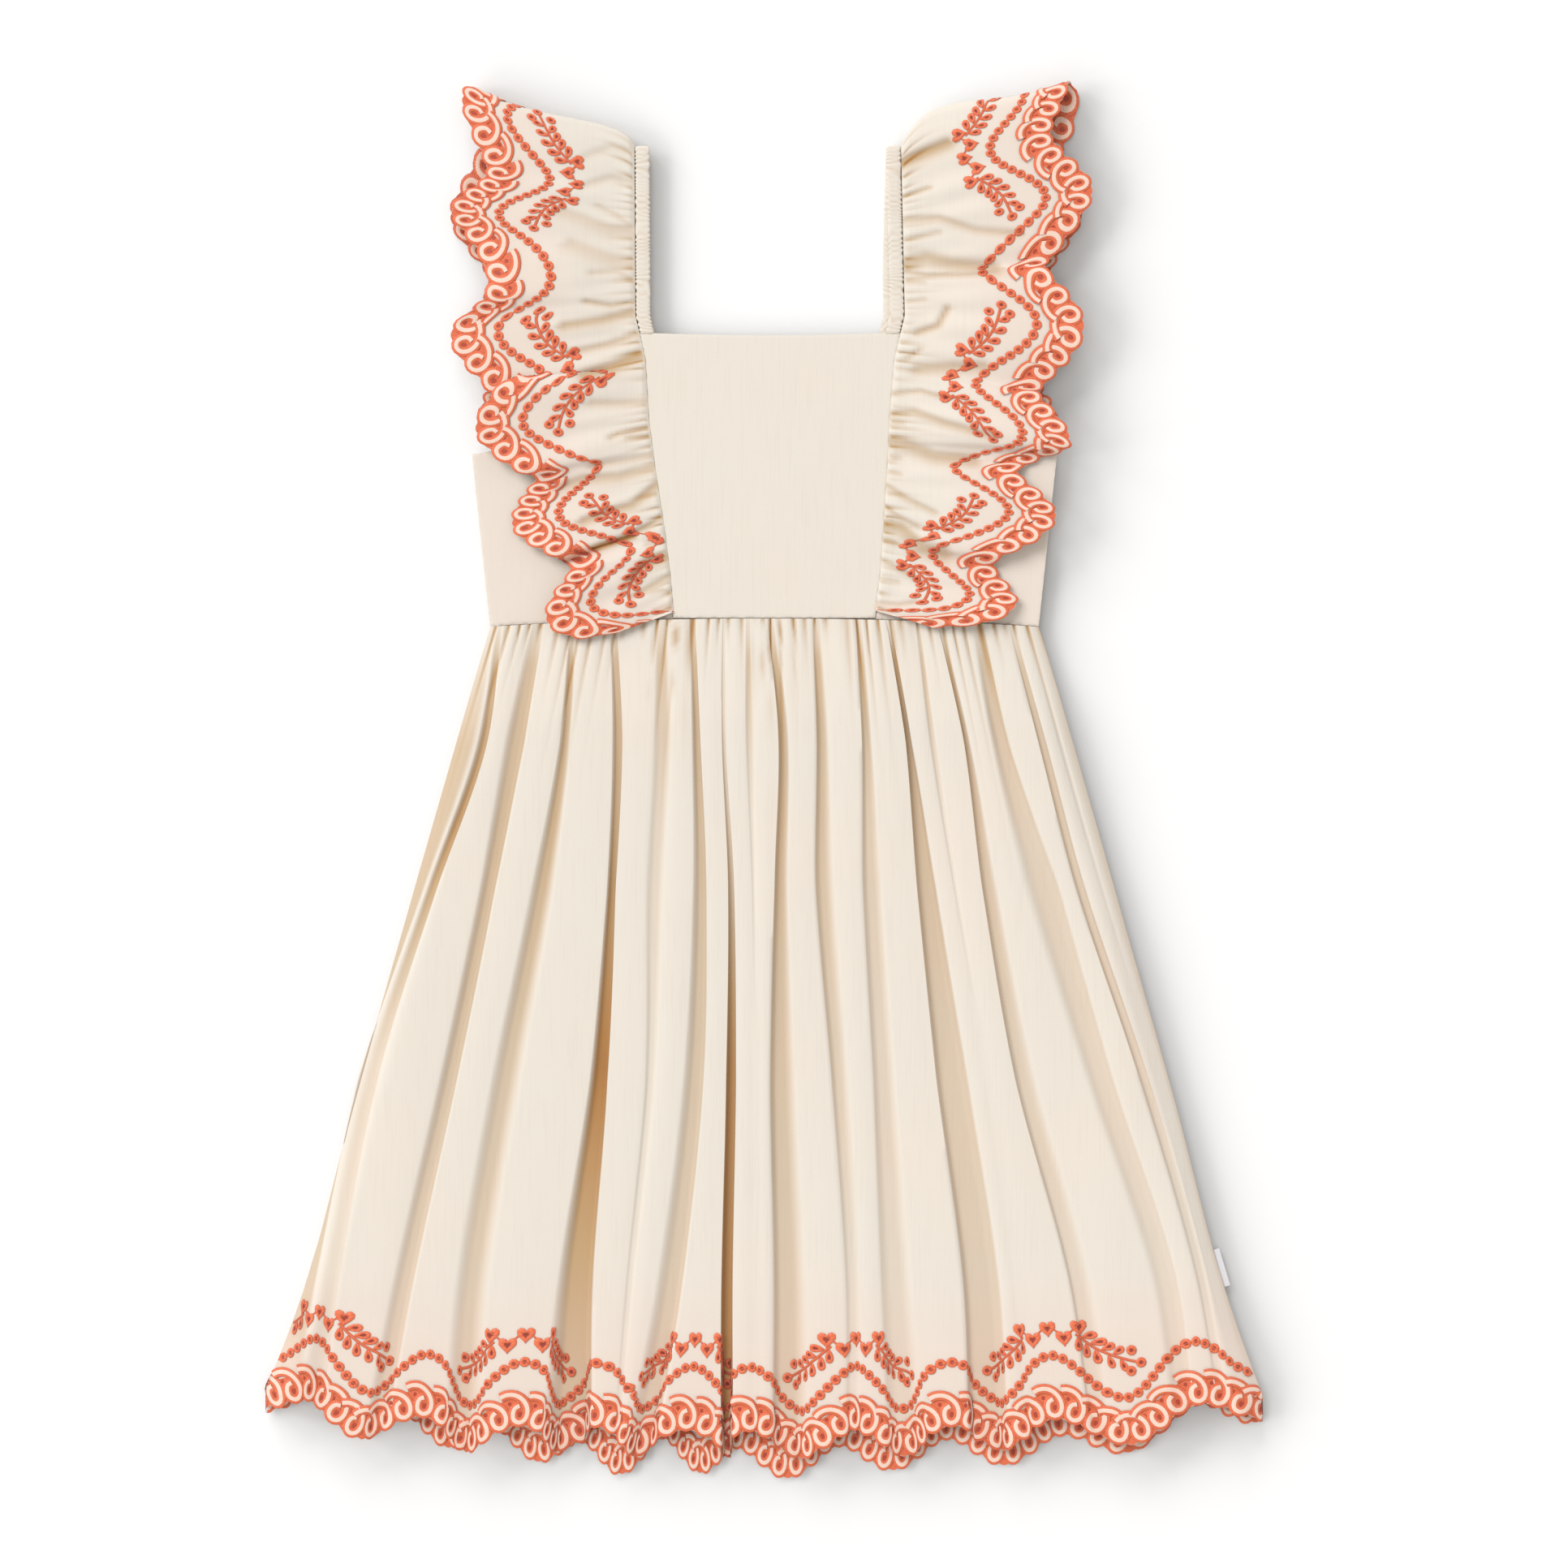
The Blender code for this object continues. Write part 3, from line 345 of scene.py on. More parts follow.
def settle(piece, slot, *nodes):
    """Fix a piece to the dress and hide the solids that it stands for; its slot is not used."""
    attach(piece, "root")
    if nodes:
        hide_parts(*nodes)


# Places across the back hem with the flat length at each, crests at whole waves
BACK_PLACES = np.array((-HEM_HALF_WIDTH,) + BACK_CREST_PLACES + (HEM_HALF_WIDTH,))
BACK_FLATS = WAVE_LENGTH * np.arange(-1.0, len(BACK_CREST_PLACES) + 1)
BACK_FLATS[0] = BACK_SIDE_SLOPE * (BACK_PLACES[0] - BACK_PLACES[1])
BACK_FLATS[-1] = BACK_FLATS[-2] + BACK_SIDE_SLOPE * (BACK_PLACES[-1] - BACK_PLACES[-2])


def back_surface(flat, height):
    """Points of the skirt back at flat places along its hem and heights above its hem line."""
    x_hem = np.interp(flat, BACK_FLATS, BACK_PLACES)
    low = back_hem_y(x_hem)
    length = waist_y(x_hem * WAIST_HALF_WIDTH / HEM_HALF_WIDTH) - low
    v = 1 - height / length
    rows = np.linspace(0, PAST_HEM, 107)
    halves = np.array([half_width(r) for r in rows])
    half_here = np.interp(v, rows, halves)
    x = x_hem / HEM_HALF_WIDTH * half_here
    y = mix(waist_y(x), back_hem_y(x), v)
    ridge = (x_hem / HEM_HALF_WIDTH + 1) / 2 * BACK_FOLD_COUNT
    number = np.floor(ridge)
    middle = 0.5 + 0.2 * np.sin(2.4 * number)
    away = np.abs(ridge - number - middle) * 2 * half_here / BACK_FOLD_COUNT
    fold = share(1 - away / (BACK_FOLD_WIDTH / 2))
    fade = share((half_here - np.abs(x)) / SIDE_ROLL) * np.minimum(1, 0.4 + v)
    fade = fade * share((height + 2) / EDGE_MARGIN)
    z = BACK_TOP_Z + BACK_FOLD_HEIGHT * fade * (1 - np.cos(np.pi * fold)) / 2
    return np.stack([x, y, z], -1), np.zeros_like(x)


flats = np.linspace(BACK_FLATS[0], BACK_FLATS[-1], int(np.ptp(BACK_FLATS) / BACK_COLUMN_STEP))
across = np.interp(flats, BACK_FLATS, BACK_PLACES)
outline = edge_wave(flats) - LOOP_REACH + edge_notch(flats)
heights = [waist_y(across * WAIST_HALF_WIDTH / HEM_HALF_WIDTH) - back_hem_y(across)]
heights += [np.full_like(across, h) for h in BACK_ROW_HEIGHTS]
heights += [mix(EDGE_MARGIN, outline, t) for t in (0.0, 0.33, 0.66, 1.0)]
grid = np.stack([back_surface(flats, h)[0] for h in heights])
blush = np.stack([share(1 - h / BLUSH_HEIGHT) for h in heights])
skirt_back_cloth = cloth_shell("skirt_back_cloth", grid, poplin, near_stitch=blush * HEM_BLUSH)
settle(skirt_back_cloth, "embroidered_cotton", "skirt_back")

# Skirt front.
# The front panel of cotton poplin, gathered into the waist seam. Its fullness is laid in flat
# bands with knife edges, and between them the cloth dips in troughs of uneven width.
SKIRT_SIDE_Z = 2.7
SKIRT_SIDE_UNDER_Z = 1.5
SKIRT_SIDE_UNDER_REACH = 12.0
SKIRT_TROUGH_Z = 4.2
SOLID_WALL = 1.0
BAND_CROWN = 0.3
# Painted shade along the rolled side edges of the skirt front, by share of the length
EDGE_SHADES = ((0.0, 0.1), (0.15, 0.42), (0.5, 0.42), (0.9, 0.34), (1.0, 0.05))
LEVEL_ROWS = (0.0, 0.12, 1.0)
LEVELS = (4.2, 8.8, 9.8)
PLACE_ROWS = (0.0, 0.15, 0.33, 0.57, 0.82, 1.0)
WIDTH_ROWS = (0.0, 0.15, 0.33, 0.57, 1.0)
DEPTH_ROWS = (0.0, 0.12, 0.5, 1.0)
SHADE_ROWS = (0.0, 0.05, 0.25, 0.55, 1.0)
WAIST_DEPTH_SHARE = 0.12
WAIST_WIDTH_SHARE = 0.7
DEPTH_SCALE = 0.62
SOFT_SLOPE = 0.3
FRONT_COLUMN_STEP = 1.7
GATHER_PITCH = 5.6
GATHER_DEPTH = 1.5
GATHER_REACH = 0.032
GATHER_SHADE = 0.75
RIPPLE_HEIGHT = 0.2
SECTION_STEP = 0.005
WAVE_PLACES = (-224, -167.6, -120.4, -83.4, -38.4, -6.8, 44.8, 92.2, 143.2, 214)
FRONT_DROP_PLACES = (-245, -226, -206, -169, -141, -101, 143, 180, 214, 245)
FRONT_DROPS = (-4, -0.5, 1.6, 1.2, 3.4, 0, 0, 2.3, 0, 0)
FRONT_ROWS = 70
FRONT_ROW_EASE = 1.15

# The troughs between the bands, left to right:
# place: middle at the six rows; width: at the last four of five rows; depth: hip, knee, hem;
# slope: share of the width that the left and the right wall take;
# shade: how warm and dark the trough is painted, near the waist, at the hip, at the knee and at the
# hem
SKIRT_FOLDS = (
    ((-130.8, -139.2, -163.6, -194, -213, -222), (5.6, 6, 10, 12), (5.0, 4.0, 1.5),
     (0.60, 0.30), (0.48, 0.68, 0.24, 0.10)),
    ((-112, -123.2, -136.4, -155.6, -176.8, -190), (11, 8.5, 9.5, 12), (4.5, 5.0, 3.0),
     (0.50, 0.25), (0.43, 0.46, 0.38, 0.24)),
    ((-94, -98, -108.8, -126.8, -143, -148), (6, 13, 17, 20), (4.5, 5.0, 3.5),
     (0.40, 0.45), (0.51, 0.52, 0.38, 0.28)),
    ((-74.5, -72.3, -75.2, -81.6, -93.2, -97), (5.2, 4.4, 9.2, 25), (4.0, 6.5, 7.0),
     (0.40, 0.15), (0.45, 0.52, 0.84, 0.38)),
    ((-50.8, -50, -53.6, -56, -66, -72), (10, 10, 6, 4), (2.5, 2.5, 0.4),
     (0.35, 0.35), (0.38, 0.20, 0.10, 0.02)),
    ((-35.6, -33.6, -32, -35.2, -47, -60), (4.4, 7.2, 11, 16), (4.0, 5.0, 4.5),
     (0.50, 0.20), (0.48, 0.42, 0.36, 0.30)),
    ((-20, -20, -16.4, -16.4, -18.4, -18.4), (1.8, 3.0, 5.0, 6.2), (1.2, 6.0, 8.0),
     (0.25, 0.18), (0.15, 0.26, 0.72, 0.74)),
    ((-8, -7.2, -5, -4, -4, -4), (4.8, 3, 3, 3), (2.0, 0.0, 0.0),
     (0.40, 0.40), (0.43, 0.05, 0.00, 0.00)),
    ((3.2, 9.6, 8.4, 9.5, 13, 13.6), (5.6, 7, 14, 20), (4.5, 5.0, 4.0),
     (0.20, 0.45), (0.48, 0.46, 0.38, 0.30)),
    ((25.6, 28.8, 30, 37.5, 44, 44), (6.7, 10.5, 9.5, 8), (4.0, 4.0, 1.0),
     (0.30, 0.50), (0.48, 0.40, 0.28, 0.05)),
    ((46.4, 50.4, 53.2, 59.2, 65.2, 70), (5.2, 10.4, 12, 20), (3.5, 3.5, 2.5),
     (0.30, 0.40), (0.43, 0.30, 0.22, 0.16)),
    ((60.8, 70.8, 79.6, 92.4, 106.4, 110), (3, 9.6, 16, 20), (5.5, 5.5, 5.0),
     (0.15, 0.30), (0.48, 0.42, 0.32, 0.28)),
    ((75.2, 82.8, 94, 110, 124, 130), (4, 3, 3, 3), (2.0, 0.0, 0.0),
     (0.40, 0.40), (0.43, 0.05, 0.00, 0.00)),
    ((86, 99.6, 110.8, 128.5, 154.8, 165), (3.2, 8, 10.8, 12), (4.0, 5.0, 2.0),
     (0.15, 0.45), (0.43, 0.38, 0.26, 0.14)),
    ((104.4, 116, 136.4, 164.4, 195.2, 205), (9, 18, 14, 12), (5.0, 4.5, 2.5),
     (0.40, 0.30), (0.38, 0.27, 0.22, 0.14)),
    ((121.2, 136.8, 155.2, 186, 213, 225), (4, 4.8, 4.8, 5), (3.0, 4.0, 1.0),
     (0.30, 0.30), (0.38, 0.30, 0.22, 0.05)),
    ((130, 146, 166, 194, 218.5, 237), (3, 3, 3, 3), (2.0, 0.0, 0.0),
     (0.40, 0.40), (0.15, 0.00, 0.00, 0.00)),
)


def front_hem_y(x):
    return hem_y(x) - np.interp(x, FRONT_DROP_PLACES, FRONT_DROPS)


def skirt_section(v):
    """Stations across the skirt front at one share of its length: places, drops and shades."""
    half = half_width(v)
    edge_shade = np.interp(v, *zip(*EDGE_SHADES))
    places, drops, shades = [-half], [0.0], [edge_shade]
    for place, width, depth, slope, shade in SKIRT_FOLDS:
        middle = smooth_curve(PLACE_ROWS, place, v)
        wide = np.interp(v, WIDTH_ROWS, (WAIST_WIDTH_SHARE * width[0],) + width)
        deep = np.interp(v, DEPTH_ROWS, (WAIST_DEPTH_SHARE * depth[0],) + depth)
        # Painted shade of the trough at this row
        dark = np.interp(v, SHADE_ROWS, (0.1,) + shade)
        left, right = middle - wide / 2, middle + wide / 2
        places += [left, left + wide * slope[0], right - wide * slope[1], right]
        drops += [0.0, DEPTH_SCALE * deep, DEPTH_SCALE * deep, 0.0]
        shades += [0.0, dark, dark, 0.0]
    return places + [half], drops + [0.0], shades + [edge_shade * 0.5]


sections = [skirt_section(SECTION_STEP * k) for k in range(int(PAST_HEM / SECTION_STEP) + 1)]
PLACES, DROPS, SHADES = (np.array([s[c] for s in sections]) for c in range(3))
STATIONS = PLACES.shape[1]
# Which walls bend softly at their band: by part, from the slopes in the table
SOFT_WALLS = np.array([0.0] + [float(s > SOFT_SLOPE) if s else 0.0 for fold in SKIRT_FOLDS
                               for s in (0.0, fold[3][0], 0.0, fold[3][1])])[1:]


def front_surface(q, v):
    """Points and shades of the skirt front: q counts stations across, v runs from waist to hem.

    Waves of unrelated lengths keep gathers and cloth from looking even.
    """
    at = np.clip(v / SECTION_STEP, 0, len(PLACES) - 1.001)
    low = at.astype(int)
    part = np.clip(q.astype(int), 0, STATIONS - 2)
    t = q - part

    def here(table, k):
        return mix(table[low, k], table[low + 1, k], at - low)

    down = part % 4 == 1
    from_band = np.where(down, t, 1 - t)
    round_foot = np.sin(np.pi / 2 * from_band)
    both_round = (1 - np.cos(np.pi * from_band)) / 2
    soft = SOFT_WALLS[np.clip(part, 0, len(SOFT_WALLS) - 1)]
    fallen = mix(round_foot, both_round, soft)
    eased = np.where(down, fallen, 1 - fallen)
    shaded = mix(share(from_band * 4), both_round, soft)
    shaded = np.where(down, shaded, 1 - shaded)
    x = mix(here(PLACES, part), here(PLACES, part + 1), t)
    drop = mix(here(DROPS, part), here(DROPS, part + 1), eased)
    shade = mix(here(SHADES, part), here(SHADES, part + 1), shaded)
    crown = np.where(part % 4 == 0, BAND_CROWN * np.sin(np.pi * t), 0.0)
    half = here(PLACES, np.full_like(part, STATIONS - 1))
    rise = np.sin(np.pi / 2 * share((half - np.abs(x)) / SIDE_ROLL))
    level = np.interp(v, LEVEL_ROWS, LEVELS)
    z = SKIRT_SIDE_Z + rise * (level + crown - drop - SKIRT_SIDE_Z)
    inward = share((half - np.abs(x)) / SKIRT_SIDE_UNDER_REACH)
    z = np.maximum(z, mix(SKIRT_SIDE_UNDER_Z, SKIRT_TROUGH_Z - SOLID_WALL, inward) + SOLID_WALL)
    y = mix(waist_y(x), front_hem_y(x), v)
    at_waist = x / half * WAIST_HALF_WIDTH
    phase = 2 * np.pi * at_waist / GATHER_PITCH + 2.1 * np.sin(at_waist / 11.0)
    pleats = np.sin(phase + 1.2 * np.sin(at_waist / 3.7))
    strength = np.exp(-v / (GATHER_REACH * (1.2 + 0.9 * np.sin(at_waist / 7.3 + 1.0))))
    z = z + GATHER_DEPTH * strength * (1 - share(-pleats) ** 2) * share(rise * 2)
    # Painted shade in the gather notches under the waist seam
    shade = shade + GATHER_SHADE * strength * share(-pleats) ** 3
    ripple = np.sin(x / 9.0 + 3.0 * v + 1.3 * np.sin(x / 31.0)) * share(v * 4) * rise
    return np.stack([x, y, z + RIPPLE_HEIGHT * ripple], -1), share(shade)


def hem_share(q, height):
    """Share of the length at a height above the hem line, along station q."""
    x = front_surface(q, np.ones_like(q))[0][..., 0]
    return 1 - height / (waist_y(x) - front_hem_y(x))


def hem_stations():
    """Flat length along the front hem at each station, with the wave's crests at their places."""
    places, drops, _ = skirt_section(1.0)
    band, wall = [0.0], [0.0]
    for k in range(len(places) - 1):
        run = places[k + 1] - places[k]
        is_wall = k % 2 == 1
        band.append(band[-1] + (0 if is_wall else run))
        wall.append(wall[-1] + (math.hypot(run, drops[k + 1] - drops[k]) if is_wall else 0))
    band_at = [np.interp(x, places, band) for x in WAVE_PLACES]
    wall_at = [np.interp(x, places, wall) for x in WAVE_PLACES]
    flats = []
    for k, x in enumerate(places):
        part = min(max(int(np.searchsorted(WAVE_PLACES, x)) - 1, 0), len(WAVE_PLACES) - 2)
        hidden = WAVE_LENGTH - (band_at[part + 1] - band_at[part])
        stretch = hidden / (wall_at[part + 1] - wall_at[part])
        flats.append(WAVE_LENGTH * part + (band[k] - band_at[part])
                     + stretch * (wall[k] - wall_at[part]))
    return flats


HEM_FLATS = hem_stations()
columns = []
for k in range(STATIONS - 1):
    steps = max(4 if k % 2 else 3, math.ceil((HEM_FLATS[k + 1] - HEM_FLATS[k]) / FRONT_COLUMN_STEP))
    columns += [k + j / steps for j in range(steps)]
columns = np.array(columns + [STATIONS - 1.0])
flat_at = np.interp(columns, range(STATIONS), HEM_FLATS)
outline = edge_wave(flat_at) - LOOP_REACH + edge_notch(flat_at)
low_share = hem_share(columns, EDGE_MARGIN)
shares = [low_share * (k / FRONT_ROWS) ** FRONT_ROW_EASE for k in range(FRONT_ROWS + 1)]
shares += [hem_share(columns, mix(EDGE_MARGIN, outline, t)) for t in (0.25, 0.5, 0.75, 1.0)]
grid, shade = (np.stack(rows) for rows in zip(*(front_surface(columns, v) for v in shares)))
blush = np.stack([share((v - 0.80) / 0.12) * HEM_BLUSH for v in shares])
skirt_front_cloth = cloth_shell("skirt_front_cloth", grid, poplin, near_stitch=blush,
                                fold_shade=shade)
settle(skirt_front_cloth, "embroidered_cotton", "skirt_front")

# Embroidery of the hems.
# Coral satin stitch on the poplin: along the edge a cord worked in loops with a pale padded core,
# above it a wave of eyelet dots, and over each second crest of the wave five small hearts
# between two sprays of leaves and berries. Eyelets are not cut: each is a flat dark face, painted
# shadow.
CORAL, PALE, EYELET = 0, 1, 2
LOOP_LINE = ((-10.0, 7.6), (-7.4, 8.8), (-3.7, 8.9), (-0.2, 7.3), (2.5, 4.2), (3.5, 0.4),
             (2.5, -3.2), (-0.2, -4.7), (-2.8, -3.4), (-3.5, -0.4), (-2.7, 2.3), (-0.5, 3.5))
LOOP_POINTS = 26
LOOP_TURN_SHARE = 0.85
# Middle, half width and half height of the two openings of a loop, flat faces of painted shadow
LOOP_HOLES = ((0.1, -0.7, 1.0, 1.5), (-5.4, 4.4, 0.9, 1.0))
HOLE_POINTS = 8
HOLE_LIFT = 0.24
# Profiles across a stitched line: offsets, lifts, painted shades and the thread between two offsets
CORD = ((-2.4, -2.05, -1.0, 0.0, 1.0, 2.05, 2.4), (0.3, 0.6, 0.5, 0.9, 0.5, 0.6, 0.3),
        (0.35, 0.05, 0.05, 0.0, 0.05, 0.05, 0.35), (CORAL, CORAL, PALE, PALE, CORAL, CORAL))
THIN_LINE = ((-0.5, 0.0, 0.5), (0.2, 0.42, 0.2), (0.3, 0.1, 0.3), (CORAL, CORAL))
STEM_LINE = ((-0.7, 0.0, 0.7), (0.25, 0.55, 0.25), (0.4, 0.1, 0.4), (CORAL, CORAL))
GROUND_HEIGHTS = (-2.0, 3.0, 7.6)
GROUND_STEP = 1.6
GROUND_LIFT = 0.14
# Light painted shade over the ground stitches
GROUND_SHADE = 0.08
DOT_HEIGHT = 21.0
DOT_WAVE = 11.0
DOTS_PER_WAVE = 16
DOT_RADIUS = 2.55
DOT_MARGIN = 2.4
HEART_SPACING = 2 * WAVE_LENGTH
HEART_OFFSETS = ((-16.5, 45.5), (-8.2, 40.5), (0, 45.5), (8.2, 40.5), (16.5, 45.5))
HEART_WIDTH = 8.9
HEART_MARGIN = 4.0
SPRAY_STEM = ((14.5, 42.0), (26.0, 33.0), (42.0, 27.0))
STEM_POINTS = 18
# Place along the stem, side, length and width of each leaf
SPRAY_LEAVES = ((0.10, 1, 7.6, 5.0), (0.29, 1, 7.6, 5.0), (0.48, 1, 7.2, 4.9), (0.66, 1, 6.6, 4.8),
                (0.04, -1, 7.0, 5.0), (0.21, -1, 7.2, 5.0), (0.39, -1, 7.0, 5.0),
                (0.57, -1, 6.8, 4.9), (0.74, -1, 6.4, 4.8))
LEAF_LEAN = (0.62, 0.78)
LEAF_FOOT = 0.6
LEAF_MIDDLE = 0.58
# Place along the stem, side and distance from it of each berry
SPRAY_BERRIES = ((0.86, 1, 5.0), (0.96, -1, 5.0), (1.0, 0, 2.4))
BERRY_TIP = 1.8
BERRY_RADIUS = 2.6
RING_SCALES = (1.0, 0.92, 0.55, 0.36)
RING_LIFTS = (0.32, 0.6, 0.6, 0.35)
# Painted shade of each ring: darker at the rim and round the eyelet
RING_SHADES = (0.22, 0.0, 0.0, 0.4)
STITCH_SPACING = 0.7
STITCH_RELIEF = 0.1
THREAD_CLOUD_SCALE = 900.0


def satin_finish(name, colour, dark, light):
    """Embroidery cotton: close parallel threads, so it shines a little along them."""
    finish, tree, shader = new_finish(name, 0.5, sheen=0.2)
    _, tint = clouded(tree, THREAD_CLOUD_SCALE, colour, light)
    # Painted shade: the fold_shade mark mixes the thread towards its dark colour
    shade = add_node(tree, "Attribute", {}, attribute_name="fold_shade")
    deep = add_node(tree, "Mix", {0: shade.outputs["Fac"], 6: tint, 7: linear(dark)},
                    data_type="RGBA")
    tree.links.new(deep.outputs[2], shader.inputs["Base Color"])
    along = add_node(tree, "Attribute", {}, attribute_name="along_thread")
    stripe = add_node(tree, "Math", {0: along.outputs["Fac"], 1: 2 * math.pi / STITCH_SPACING},
                      operation="MULTIPLY")
    wave = add_node(tree, "Math", {0: stripe.outputs[0]}, operation="SINE")
    bump = add_node(tree, "Bump", {"Height": wave.outputs[0], "Strength": 0.5,
                                   "Distance": STITCH_RELIEF * MM})
    tree.links.new(bump.outputs[0], shader.inputs["Normal"])
    return finish


# Mercerised embroidery cotton in coral and in cream; the eyelets are flat faces of painted shadow
coral_thread = satin_finish("coral_satin_stitch", "#DC5A33", "#96321B", "#EE8054")
pale_thread = satin_finish("cream_satin_stitch", "#F0CFBC", "#C98A68", "#F4DACA")
eyelet_shade = satin_finish("eyelet_in_shadow", "#B5432A", "#74200F", "#A23621")


def stitch(design, points, faces, finishes, along, shades):
    """Add one stitched shape: points are place along the edge, height above it and lift."""
    start = design["count"]
    design["points"].append(points)
    design["along"].append(along)
    design["shades"].append(shades)
    design["faces"] += [[start + k for k in face] for face in faces]
    design["finishes"] += finishes
    design["count"] += len(points)


def spline(line, count):
    """Smooth line through the given points."""
    rows = range(len(line))
    at = np.linspace(0, len(line) - 1, count)
    return np.array([[smooth_curve(rows, [p[c] for p in line], a) for c in (0, 1)] for a in at])


def line_normals(line):
    """Direction along a line and sideways from it at each point."""
    run = unit(np.gradient(line, axis=0))
    return run, np.stack([-run[:, 1], run[:, 0]], -1)


def length_along(line):
    """Length from the start of a line to each of its points."""
    return np.concatenate([[0], np.cumsum(np.linalg.norm(np.diff(line, axis=0), axis=1))])


def stitch_line(design, line, profile, raised=0.0):
    """Cord or thin line along a path, with the given profile across."""
    offsets, lifts, shades, finishes = profile
    _, sideways = line_normals(line)
    count, wide = len(line), len(offsets)
    points = np.zeros((count, wide, 3))
    points[..., :2] = line[:, None, :] + sideways[:, None, :] * np.array(offsets)[None, :, None]
    points[..., 2] = np.array(lifts)[None, :] + np.reshape(raised, (-1, 1))
    _, quads = grid_faces(count, wide)
    stitch(design, points.reshape(-1, 3), quads[:, [0, 3, 2, 1]].tolist(),
           list(finishes) * (count - 1), np.repeat(length_along(line), wide),
           np.tile(shades, count))


def stitch_patch(design, outline, middle):
    """Padded satin shape round a small eyelet."""
    count, last = len(outline), len(RING_SCALES) - 1
    points = np.concatenate([
        np.concatenate([middle + (outline - middle) * scale, np.full((count, 1), lift)], 1)
        for scale, lift in zip(RING_SCALES, RING_LIFTS)
    ])
    faces = []
    for j in range(last):
        for i in range(count):
            a, b = j * count + i, j * count + (i + 1) % count
            faces.append((a, b, b + count, a + count))
    # The middle is the eyelet: a flat face of painted shadow
    opening = range(last * count, (last + 1) * count)
    stitch(design, points, faces + [opening], [CORAL] * len(faces) + [EYELET],
           np.tile(np.arange(count) * 0.5, last + 1), np.repeat(RING_SHADES, count))


def circle(middle, radius, count=10):
    angles = 2 * np.pi * np.arange(count) / count
    return np.stack([middle[0] + radius * np.cos(angles), middle[1] + radius * np.sin(angles)], -1)


def leaf(foot, way, length, width, count=12):
    """Outline of a leaf that stands on its foot and is widest past its middle."""
    angles = 2 * np.pi * np.arange(count) / count
    far = (1 - np.cos(angles)) / 2
    sideways = np.array([-way[1], way[0]])
    bulge = np.sin(angles) * (0.35 + 0.65 * far**0.7) * width / 2
    return foot + way * (far * length)[:, None] + sideways * bulge[:, None]


def heart(middle, width, count=16):
    """Outline of a heart with its point towards the edge."""
    t = 2 * np.pi * (np.arange(count) + 0.5) / count
    x = 16 * np.sin(t) ** 3
    y = 13 * np.cos(t) - 5 * np.cos(2 * t) - 2 * np.cos(3 * t) - np.cos(4 * t)
    return np.stack([middle[0] + x * width / 32, middle[1] + y * width / 32], -1)


def stitch_ground(design, start, end):
    """Close ground stitches under the loops."""
    place = np.linspace(start, end, int((end - start) / GROUND_STEP))
    rows = [edge_wave(place) - LOOP_REACH + edge_notch(place) + 0.2]
    rows += [edge_wave(place) + h for h in GROUND_HEIGHTS]
    lift = np.full_like(place, GROUND_LIFT)
    points = np.concatenate([np.stack([place, row, lift], -1) for row in rows])
    _, faces = grid_faces(len(rows), len(place))
    stitch(design, points, faces.tolist(), [CORAL] * len(faces), np.tile(place, len(rows)),
           np.full(len(points), GROUND_SHADE))


def stitch_loops(design, start, end, turn):
    """The cord along the edge, loop by loop; turn is -1 where the loops lean the other way."""
    base = spline(LOOP_LINE, LOOP_POINTS) * (turn, 1)
    place = np.linspace(0, 1, LOOP_POINTS)
    raised = 0.55 * share(1 - place / 0.3) - 0.25 * share((place - 0.85) / 0.15)
    one_wave = np.linspace(0, WAVE_LENGTH, 681)
    wave_run = length_along(np.stack([one_wave, edge_wave(one_wave)], -1))
    loops = round(WAVE_LENGTH / LOOP_PITCH)
    for k in range(math.floor(start / LOOP_PITCH), int(end / LOOP_PITCH) + 2):
        wave, part = divmod(k, loops)
        s = WAVE_LENGTH * wave + np.interp(wave_run[-1] * part / loops, wave_run, one_wave)
        steep = -WAVE_HEIGHT * 2 * np.pi / WAVE_LENGTH * np.sin(2 * np.pi * s / WAVE_LENGTH)
        angle = LOOP_TURN_SHARE * math.atan(steep)
        turned = np.array([[math.cos(angle), math.sin(angle)], [-math.sin(angle), math.cos(angle)]])
        middle = np.array([s, edge_wave(s)])
        stitch_line(design, base @ turned + middle, CORD, raised)
        for x, y, wide, high in LOOP_HOLES:
            hole = circle((0, 0), 1.0, HOLE_POINTS) * (wide, high) + (turn * x, y)
            ring = np.concatenate([hole @ turned + middle, np.full((HOLE_POINTS, 1), HOLE_LIFT)], 1)
            stitch(design, ring, [range(HOLE_POINTS)], [EYELET], *np.zeros((2, HOLE_POINTS)))


def stitch_dots(design, start, end):
    """The wave of eyelet dots on its thin line."""
    fine = np.linspace(start + 0.5, end - 0.5, int((end - start) / 0.5))
    line = np.stack([fine, DOT_HEIGHT + DOT_WAVE * np.cos(2 * np.pi * fine / WAVE_LENGTH)], -1)
    stitch_line(design, line[::3], THIN_LINE)
    run = length_along(line)
    crest = np.interp(0.0, fine, run) if start < 0 else 0.0
    spacing = run[-1] / (end - start - 1) * WAVE_LENGTH / DOTS_PER_WAVE
    for at in np.arange(crest % spacing, run[-1], spacing):
        middle = (np.interp(at, run, line[:, 0]), np.interp(at, run, line[:, 1]))
        if start + DOT_MARGIN < middle[0] < end - DOT_MARGIN:
            stitch_patch(design, circle(middle, DOT_RADIUS), middle)


def stitch_hearts(design, start, end, s):
    """Five hearts joined by a thin line, round the place s."""
    joined = [(s + x, h + 1.0) for x, h in HEART_OFFSETS]
    if joined[0][0] > start and joined[-1][0] < end:
        stitch_line(design, spline(joined, 30), THIN_LINE)
    for x, h in HEART_OFFSETS:
        if start + HEART_MARGIN < s + x < end - HEART_MARGIN:
            stitch_patch(design, heart((s + x, h), HEART_WIDTH), (s + x, h - 0.3))


